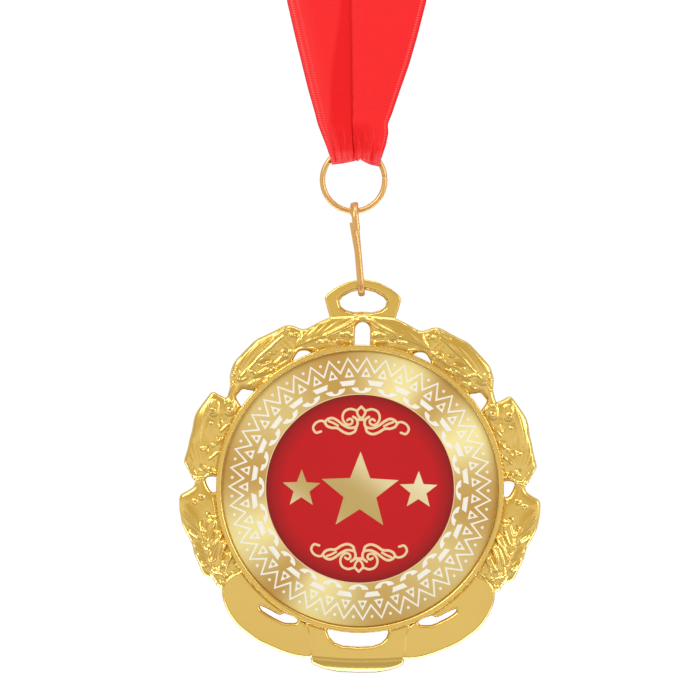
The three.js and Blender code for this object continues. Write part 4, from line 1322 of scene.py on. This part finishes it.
# Edges of the front strap: height above the ring, left edge, right edge, crease, how deep the pleat is.
STRAP_SHAPE = [
    (37.0, -12.7, 12.7, -1.0, 0.0),
    (32.0, -12.45, 12.45, -0.88, 0.15),
    (25.7, -10.9, 10.94, -0.7, 1.6),
    (20.7, -9.6, 9.57, -0.55, 2.7),
    (15.8, -8.3, 7.92, -0.4, 3.2),
    (11.9, -7.1, 6.65, -0.3, 3.0),
    (10.0, -6.6, 5.91, -0.25, 2.7),
    (8.4, -5.95, 6.05, -0.2, 2.4),
    (6.6, -5.2, 5.72, -0.1, 2.0),
    (4.2, -4.3, 4.95, 0.3, 1.5),
    (2.4, -3.75, 4.35, 0.8, 1.1),
]
# Lowest line of the cloth under the ring's top: place across, height above the ring's middle.
BIGHT_LINE = [(-3.75, 2.7), (-2.0, 2.85), (0.6, 3.2), (1.1, 3.75), (1.7, 3.35), (2.9, 2.75), (4.35, 2.35)]
# How far the strap stands in front of the ring's plane: height above the ring's middle, depth.
STRAP_DEPTH = [(37.6, 0.3), (35.0, 0.5), (33.0, 0.62), (24.0, 0.85), (12.0, 1.3), (8.5, 1.6), (4.0, 1.6),
               (2.4, 1.5)]
# Width of the band of painted shade left of the crease: height above the ring's middle, width.
BAND_WIDTH = [(10.0, 4.6), (20.0, 4.0), (27.0, 2.8), (36.0, 1.7)]


def by_height(table, z, column=1):
    rows = sorted(table)
    return np.interp(z, [row[0] for row in rows], [row[column] for row in rows])


def fold_back(x, y, radius, side, first, count):
    """Points where the cloth folds back on itself, round a centre and out to one side of it."""
    turns = np.linspace(first, math.pi, count)
    return [(x + side * radius * math.sin(turn), y + radius * math.cos(turn)) for turn in turns]


def strap_section(z, share):
    """The front strap's section at a height: a left panel that dives behind, a pleat and a right panel."""
    left, right, crease, pleat = (by_height(STRAP_SHAPE, z, column) for column in (1, 2, 3, 4))
    depth = by_height(STRAP_DEPTH, z)
    step = min(PLEAT_STEP, 0.5 * pleat)
    outline = []
    for t in np.linspace(0, 1, 22):
        dive = (step + 0.15) * max(0, (t - 0.35) / 0.65) ** 2
        outline.append((left + (crease - left) * t, -depth - 0.2 + 0.25 * t + dive))
    front = -depth + 0.05
    if pleat > 0.1:
        radius = step / 2
        back = -depth + step
        outline += [(crease + pleat * t, back) for t in np.linspace(0.2, 1, 5)]
        outline += fold_back(crease + pleat, back - radius, radius, 1, 0.5, 5)
        outline += [(crease + pleat * t, back - step) for t in np.linspace(0.9, 0.1, 5)]
        outline += fold_back(crease, back - step - radius, radius, -1, 0.0, 6)
        front = back - 2 * step
    bow = 0.22 * min(1.0, pleat)
    outline += [(crease + (right - crease) * t, front - bow * math.sin(math.pi * t) * (1 - t) + 0.12 * t)
                for t in np.linspace(0.06, 1, 20)]
    outline = np.array(outline)
    lengths = length_along(outline)
    at = share * lengths[-1]
    return np.interp(at, lengths, outline[:, 0]), np.interp(at, lengths, outline[:, 1])


def gather(share, z):
    """Small gathers of the satin where it is drawn into the ring."""
    amount = 0.20 * np.clip((11.5 - z) / 7.0, 0, 1) ** 1.5
    broad = np.sin(share * 2 * math.pi * 11 + 0.8 * np.sin(share * 17))
    return amount * (broad + 0.4 * np.sin(share * 2 * math.pi * 23))


def painted_fold_shade_light(rows):
    """Painted shade where the front strap lies in shade beside its crease and over its gathers, and painted
    light where the light catches its lower fold.
    """
    x, y, z = rows[..., 0], rows[..., 1], rows[..., 2]
    in_front = (y < -0.05) & (z < STRAP_TOP + 1)
    crease = by_height(STRAP_SHAPE, z, 3)
    inside = np.clip((x - crease + by_height(BAND_WIDTH, z)) / 0.7, 0, 1) * (x < crease + 0.05)
    inside = inside * np.clip((z - 7.0) / 3.0, 0, 1)
    # Painted shade over the gathers where the strap is drawn into the ring.
    basin = np.exp(-((x + 0.5) / 3.6) ** 4) * np.exp(-((z - 7.6) / 2.5) ** 4)
    shade = np.clip(np.maximum(inside, 0.95 * basin), 0, 1) * in_front
    # Painted light on the lower fold, where the light catches it.
    light = np.exp(-((z - 3.3) / 1.5) ** 4) * (y < 0.3)
    return shade, light


def room_for_ring(x, z):
    """How far the cloth stands off the ring's plane, so that the ring can swing inside the bight."""
    drop = RING_RADIUS - np.sqrt(np.clip(RING_RADIUS ** 2 - x ** 2, 0, None))
    return (0.66 + 0.9 * drop) * soft_step(np.clip((8.0 - z) / 3.4, 0, 1))


def strap_rows(facing):
    """Rows of a strap from the hank down to the bight; facing is -1 for the front one, 1 for the back one."""
    share = np.linspace(0, 1, COLUMNS)
    rows = []
    for z in np.concatenate([np.linspace(STRAP_TOP, 9.0, 48), np.linspace(8.6, STRAP_LOW, 14)]):
        x, y = strap_section(z, share)
        y = np.minimum(y, -room_for_ring(x, z)) - gather(share, z)
        rows.append(np.column_stack([x, -facing * y, np.full(COLUMNS, z)]))
    return rows


def bight_rows():
    """Rows from the front strap under the ring's top to the back strap."""
    share = np.linspace(0, 1, COLUMNS)
    x_low, y_low = strap_section(BIGHT_LOW, share)
    x_high, _ = strap_section(STRAP_LOW, share)
    pile = 0.35 * (y_low - y_low.min()) / max(np.ptp(y_low), 1e-6)
    base = by_height(BIGHT_LINE, x_low) + pile
    rows = []
    for turn in np.linspace(0, math.pi, 19)[1:-1]:
        sweep = math.sin(turn)
        facing_out = math.copysign(abs(math.cos(turn)) ** 0.6, math.cos(turn))
        x = x_high + (x_low - x_high) * sweep ** 0.6
        y = (np.minimum(y_low, -room_for_ring(x, STRAP_LOW)) - gather(share, STRAP_LOW)) * facing_out
        rows.append(np.column_stack([x, y, STRAP_LOW + (base - STRAP_LOW) * sweep ** 0.75]))
    return rows


def hank_line():
    """Middle line of the doubled ribbon from the straps through the folded runs, with left-hand normals."""
    points, normals = [], []
    radius = RUN_PITCH / 2
    margin = radius + HALF_LAYER + CLOTH_THICK / 2
    for run in range(RUNS):
        y = run * RUN_PITCH
        up = run % 2 == 0
        low = HANK_BOTTOM + (margin if run > 0 else 0)
        high = HANK_TOP - (margin if run < RUNS - 1 else 0)
        for z in np.linspace(low, high, 7)[::1 if up else -1]:
            points.append((y, z))
            normals.append((-1, 0) if up else (1, 0))
        if run == RUNS - 1:
            break
        centre = high if up else low
        for a in np.linspace(math.pi, 0, 10)[1:-1]:
            lift = math.sin(a) if up else -math.sin(a)
            points.append((y + radius + radius * math.cos(a), centre + radius * lift))
            # The left-hand side is outside the turn at the top and inside it at the bottom.
            out = (math.cos(a), lift)
            normals.append(out if up else (-out[0], -out[1]))
    return np.array(points), np.array(normals)


def flat_row(y, z, shift=0.0):
    x = np.linspace(-RIBBON_WIDTH / 2, RIBBON_WIDTH / 2, COLUMNS) + shift
    return np.column_stack([x, np.full(COLUMNS, y), np.full(COLUMNS, z)])


def eye_route():
    """The eye's line from the hank round to its front, and the length along it at each point."""
    route = smooth_line([(y, EYE_BASE + z) for y, z in EYE_ROUTE], 5)
    return route, length_along(route)


def seam_place():
    """The place on the eye's front face that is sewn, and how far along the route it is."""
    route, lengths = eye_route()
    at_front = np.argmin(route[:, 0])
    return route[at_front], lengths[at_front]


def eye_rows(first, last, outward):
    """Rows along the eye's route, between two lengths along it, moved outward by a little."""
    route, lengths = eye_route()

    def place(at):
        return np.array([np.interp(at, lengths, route[:, 0]), np.interp(at, lengths, route[:, 1])])

    rows = []
    for at in np.linspace(first, last, max(6, int(abs(last - first) / 1.1))):
        y, z = place(at)
        ahead = place(at + 0.3) - place(at - 0.3)
        ahead /= np.linalg.norm(ahead)
        rows.append(flat_row(y - ahead[1] * outward, z + ahead[0] * outward))
    return rows


def ribbon_rows():
    """The whole strip, from one sewn end round to the other."""
    line, normal = hank_line()
    wobble = 0.14 * np.sin(np.arange(len(line)) * 0.55)
    front_layer = line + normal * HALF_LAYER
    back_layer = line - normal * HALF_LAYER
    _, seam = seam_place()
    over_peg = eye_rows(max(seam - SEAM_LAP / 2, 0.5), eye_route()[1][-1], -LAP_OFFSET)
    to_front = eye_rows(0, seam + SEAM_LAP / 2, LAP_OFFSET)
    down = [flat_row(y, z, s) for (y, z), s in zip(back_layer[::-1], wobble[::-1])]
    up = [flat_row(y, z, s) for (y, z), s in zip(front_layer, wobble)]
    rows = over_peg + down + strap_rows(1) + bight_rows()[::-1] + strap_rows(-1)[::-1] + up + to_front
    return np.array(rows)


def strip_faces(count):
    """Faces of a closed strip: its two layers, its two long edges and its two ends."""
    layer = count * COLUMNS
    last = layer - COLUMNS
    faces = []
    for r in range(count - 1):
        for c in range(COLUMNS - 1):
            a = r * COLUMNS + c
            b, d, e = a + 1, a + COLUMNS, a + COLUMNS + 1
            faces.append((a, b, e, d))
            faces.append((layer + a, layer + d, layer + e, layer + b))
    for r in range(count - 1):
        a, d = r * COLUMNS, (r + 1) * COLUMNS
        faces.append((a, d, layer + d, layer + a))
        b, e = a + COLUMNS - 1, d + COLUMNS - 1
        faces.append((b, layer + b, layer + e, e))
    for c in range(COLUMNS - 1):
        faces.append((c, layer + c, layer + c + 1, c + 1))
        faces.append((last + c, last + c + 1, layer + last + c + 1, layer + last + c))
    return faces


def ribbon_strip():
    """The ribbon as one closed thin strip, with its own cloth coordinates for the weave."""
    rows = ribbon_rows()
    count = len(rows)
    normal = np.cross(np.gradient(rows, axis=1), np.gradient(rows, axis=0))
    normal = normal / np.maximum(np.linalg.norm(normal, axis=2, keepdims=True), 1e-9)
    from_edge = np.minimum(np.arange(COLUMNS), COLUMNS - 1 - np.arange(COLUMNS))
    half = CLOTH_THICK / 2 * np.clip(from_edge, 0.45, 1.0)[None, :, None]
    points = np.concatenate([(rows + normal * half).reshape(-1, 3), (rows - normal * half).reshape(-1, 3)])
    piece = new_object("satin_ribbon", above_ring(points), strip_faces(count), RED_SATIN, crease=70)
    run = np.linalg.norm(np.diff(rows, axis=0), axis=2).mean(axis=1)
    run = np.concatenate([[0], np.cumsum(run)])
    u = np.tile(np.linspace(-0.5, 0.5, COLUMNS), count)
    v = np.repeat(run / RIBBON_WIDTH, COLUMNS)
    cloth = np.tile(np.column_stack([u, v]), (2, 1))
    corner = np.zeros(len(piece.data.loops), int)
    piece.data.loops.foreach_get("vertex_index", corner)
    layer_map = piece.data.uv_layers.new(name="cloth")
    layer_map.data.foreach_set("uv", cloth[corner].astype(np.float32).ravel())
    # Painted shade and light for the folds, kept on the cloth as a colour attribute.
    shade, light = painted_fold_shade_light(rows)
    painted_light_marks = np.zeros((len(points), 4), np.float32)
    painted_light_marks[:, 0] = np.tile(shade.ravel(), 2)
    painted_light_marks[:, 1] = np.tile(light.ravel(), 2)
    painted_light_marks[:, 3] = 1.0
    colours = piece.data.color_attributes.new("painted_shade_and_light", "FLOAT_COLOR", "POINT")
    colours.data.foreach_set("color", painted_light_marks.ravel())
    return piece


THREAD_RADIUS = 0.11
THREAD_SIDES = 8
STITCHES = 13
STITCH_FROM, STITCH_PITCH, STITCH_LONG = -11.2, 1.75, 1.35
STITCH_HUMP, STITCH_SUNK = 0.17, 0.02
STITCH_STEPS = 7
STITCH_ROWS = (-0.9, 0.9)


def seam_stitches():
    """Two rows of thread stitches that hold the lapped ends."""
    (y, z), _ = seam_place()
    face = y - LAP_OFFSET - CLOTH_THICK / 2 + STITCH_SUNK
    shell = Shell()
    for row in STITCH_ROWS:
        for stitch in range(STITCHES):
            points = []
            for t in np.linspace(0, 1, STITCH_STEPS):
                rise = math.sin(math.pi * t)
                x = STITCH_FROM + STITCH_PITCH * stitch + STITCH_LONG * t
                thread = THREAD_RADIUS * (0.55 + 0.45 * rise)
                points += [(x, face - STITCH_HUMP * rise + across, z + row + up)
                           for across, up in round_spot(0, 0, thread, THREAD_SIDES)]
            shell.add(points, tube_faces(STITCH_STEPS, THREAD_SIDES))
    return new_object("seam_thread", above_ring(shell.points), shell.faces, RED_THREAD)


BAND_THICK = 0.16
BAND_CORNER = 0.9
BAND_SIDE_ROOM = 0.45
BAND_FACE_ROOM = 0.4
FLAP_FROM, FLAP_TO = -4.0, 5.0
FLAP_GAP, FLAP_LIFT = 0.03, 0.05


def belly_band():
    """A paper band round the folded ribbon, its end glued down at the back."""
    low, high = (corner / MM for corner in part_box("tie_band"))
    side = (high.x - low.x) / 2 - BAND_SIDE_ROOM - BAND_CORNER
    front, back = low.y + BAND_FACE_ROOM, high.y - BAND_FACE_ROOM
    outline = []
    for cx, cy, begin in ((side, back - BAND_CORNER, 0), (-side, back - BAND_CORNER, 90),
                          (-side, front + BAND_CORNER, 180), (side, front + BAND_CORNER, 270)):
        for angle in np.linspace(begin, begin + 90, 7):
            across, up = polar(BAND_CORNER, angle)
            outline.append((cx + across, cy + up))
    outline = np.array(outline)
    ahead = np.roll(outline, -1, axis=0) - np.roll(outline, 1, axis=0)
    ahead /= np.linalg.norm(ahead, axis=1)[:, None]
    outward = np.column_stack([ahead[:, 1], -ahead[:, 0]]) * BAND_THICK
    points = []
    for (x, y), (ox, oy) in zip(outline, outward):
        points += [(x, y, low.z), (x + ox, y + oy, low.z), (x + ox, y + oy, high.z), (x, y, high.z)]
    shell = Shell()
    shell.add(points, [face[::-1] for face in tube_faces(len(outline), 4, closed=True)])
    # The glued end: a second thickness over part of the back.
    bottom, top = low.z + 0.05, high.z - 0.05
    flap = []
    for x in np.linspace(FLAP_FROM, FLAP_TO, 8):
        under = back + BAND_THICK + FLAP_GAP + (FLAP_LIFT if x < FLAP_FROM + 0.5 else 0)
        over = under + BAND_THICK
        flap += [(x, under, bottom), (x, over, bottom), (x, over, top), (x, under, top)]
    shell.add(flap, tube_faces(8, 4))
    return new_object("paper_band", shell.points, shell.faces, BAND_PAPER, crease=40)


# ------------------------------------------------------------------ camera, floor and light, in metres
FLOOR_HALF = 14.0
FLOOR_HEIGHT = -0.33
PAPER_TONE = (0.47, 0.455, 0.435)
GLOW_FROM, GLOW_OVER = 0.45, 0.9
# Share of the way from straight in front of the object to straight behind it, and the tent's light there.
TENT = [(0.0, (0.625, 0.53, 0.30)), (0.06, (0.63, 0.545, 0.35)), (0.2, (0.60, 0.54, 0.42)),
        (0.35, (0.53, 0.50, 0.44)), (0.55, (0.72, 0.72, 0.72)), (0.87, (0.78, 0.78, 0.78)),
        (0.95, (0.92, 0.92, 0.92)), (0.985, (1.02, 1.02, 1.02)), (1.0, (1.02, 1.02, 1.02))]
LIGHT_TONE = (0.97, 0.99, 1.06)
AIM = (0.0, 0.0, -0.12)
# Name, place, what it points at, size and watts.
LIGHTS = [
    ("key_left", (-0.55, -0.75, 0.45), AIM, (0.4, 0.4), 3.3),
    ("fill_right", (0.75, -0.6, 0.15), AIM, (0.3, 0.5), 2.3),
    ("under_strip", (0.0, 0.03, -0.325), (0.0, 0.03, 0.0), (0.9, 0.12), 1.3),
    ("top_strip", (0.0, -0.25, 0.8), AIM, (0.9, 0.3), 2.4),
]


def make_camera():
    camera = bpy.data.objects.new("camera", bpy.data.cameras.new("camera"))
    bpy.context.scene.collection.objects.link(camera)
    right = Vector((math.cos(CAMERA_ROLL), 0, math.sin(CAMERA_ROLL)))
    up = Vector((-math.sin(CAMERA_ROLL), 0, math.cos(CAMERA_ROLL)))
    back = Vector((0, -1, 0))
    place = (CAMERA_TARGET + back * CAMERA_DISTANCE) * MM
    turn = Matrix((right, up, back)).transposed().to_4x4()
    camera.matrix_world = Matrix.Translation(place) @ turn
    camera.data.sensor_width = SENSOR_WIDTH
    camera.data.lens = SENSOR_WIDTH * CAMERA_DISTANCE / CAMERA_VIEW_WIDTH
    camera.data.clip_start = 0.01
    camera.data.clip_end = 60.0
    bpy.context.scene.camera = camera


def make_floor():
    """A sweep of paper that gets brighter away from the object until it is plain white."""
    mesh = bpy.data.meshes.new("studio_floor")
    unit = ((-1, -1), (1, -1), (1, 1), (-1, 1))
    corners = [(x * FLOOR_HALF, y * FLOOR_HALF, FLOOR_HEIGHT) for x, y in unit]
    mesh.from_pydata(corners, [], [(0, 1, 2, 3)])
    floor = bpy.data.objects.new("studio_floor", mesh)
    bpy.context.scene.collection.objects.link(floor)
    material, tree, shader = new_material("floor_paper", Roughness=0.9, Specular_IOR_Level=0.1,
                                          Emission_Color=(1.0, 1.0, 1.0, 1.0))
    distance = tree.nodes.new("ShaderNodeVectorMath")
    distance.operation = "LENGTH"
    link(tree, object_place(tree), distance.inputs[0])
    beyond = math_node(tree, "SUBTRACT", distance.outputs["Value"], GLOW_FROM)
    glow = math_node(tree, "DIVIDE", beyond, GLOW_OVER, clamp=True)
    link(tree, mix_colours(tree, glow, PAPER_TONE, (0.0, 0.0, 0.0)), shader.inputs["Base Color"])
    link(tree, glow, shader.inputs["Emission Strength"])
    mesh.materials.append(material)


def make_world():
    """A light tent: warm and softer in front of the object, white and bright behind it."""
    world = bpy.data.worlds.new("studio")
    bpy.context.scene.world = world
    world.use_nodes = True
    tree = world.node_tree
    way = split_place(tree, tree.nodes.new("ShaderNodeTexCoord").outputs["Generated"])
    facing = math_node(tree, "ADD", math_node(tree, "MULTIPLY", way["Y"], 0.5), 0.5)
    background = tree.nodes["Background"]
    link(tree, ramp(tree, facing, TENT, smooth=False), background.inputs["Color"])
    background.inputs["Strength"].default_value = 1.0


def soft_light(name, place, target, size, power):
    data = bpy.data.lights.new(name, "AREA")
    data.shape = "RECTANGLE"
    data.size, data.size_y = size
    data.energy = power
    data.color = LIGHT_TONE
    light = bpy.data.objects.new(name, data)
    bpy.context.scene.collection.objects.link(light)
    light.visible_camera = False
    light.location = place
    light.rotation_euler = (Vector(target) - Vector(place)).to_track_quat("-Z", "Y").to_euler()


# ------------------------------------------------------------------ assembly
scene = bpy.context.scene
scene.view_settings.view_transform = "Standard"
make_camera()

ribbon = ribbon_strip()
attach(ribbon, "ribbon")
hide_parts("ribbon_drop", "ribbon_hank", "ribbon_eye")

thread = seam_stitches()
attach(thread, "ribbon")
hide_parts("seam_stitching")

band = belly_band()
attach(band, "ribbon")
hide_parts("tie_band")

ring = split_ring()
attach(ring, "ring")
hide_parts("jump_ring")

link_wire = hook_link()
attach(link_wire, "link")
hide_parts("hook_link")

casting = wreath_casting()
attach(casting, "medal")
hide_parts("wreath_frame")

disc = printed_disc()
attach(disc, "medal")
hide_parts("insert_plate")
for film in (white_border(), red_centre(), gold_rim(), gold_scrolls(), gold_stars()):
    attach(film, "medal")

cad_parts["adhesive_disc"].data.materials.clear()
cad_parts["adhesive_disc"].data.materials.append(FOAM_TAPE)

make_floor()
make_world()
for light in LIGHTS:
    soft_light(*light)
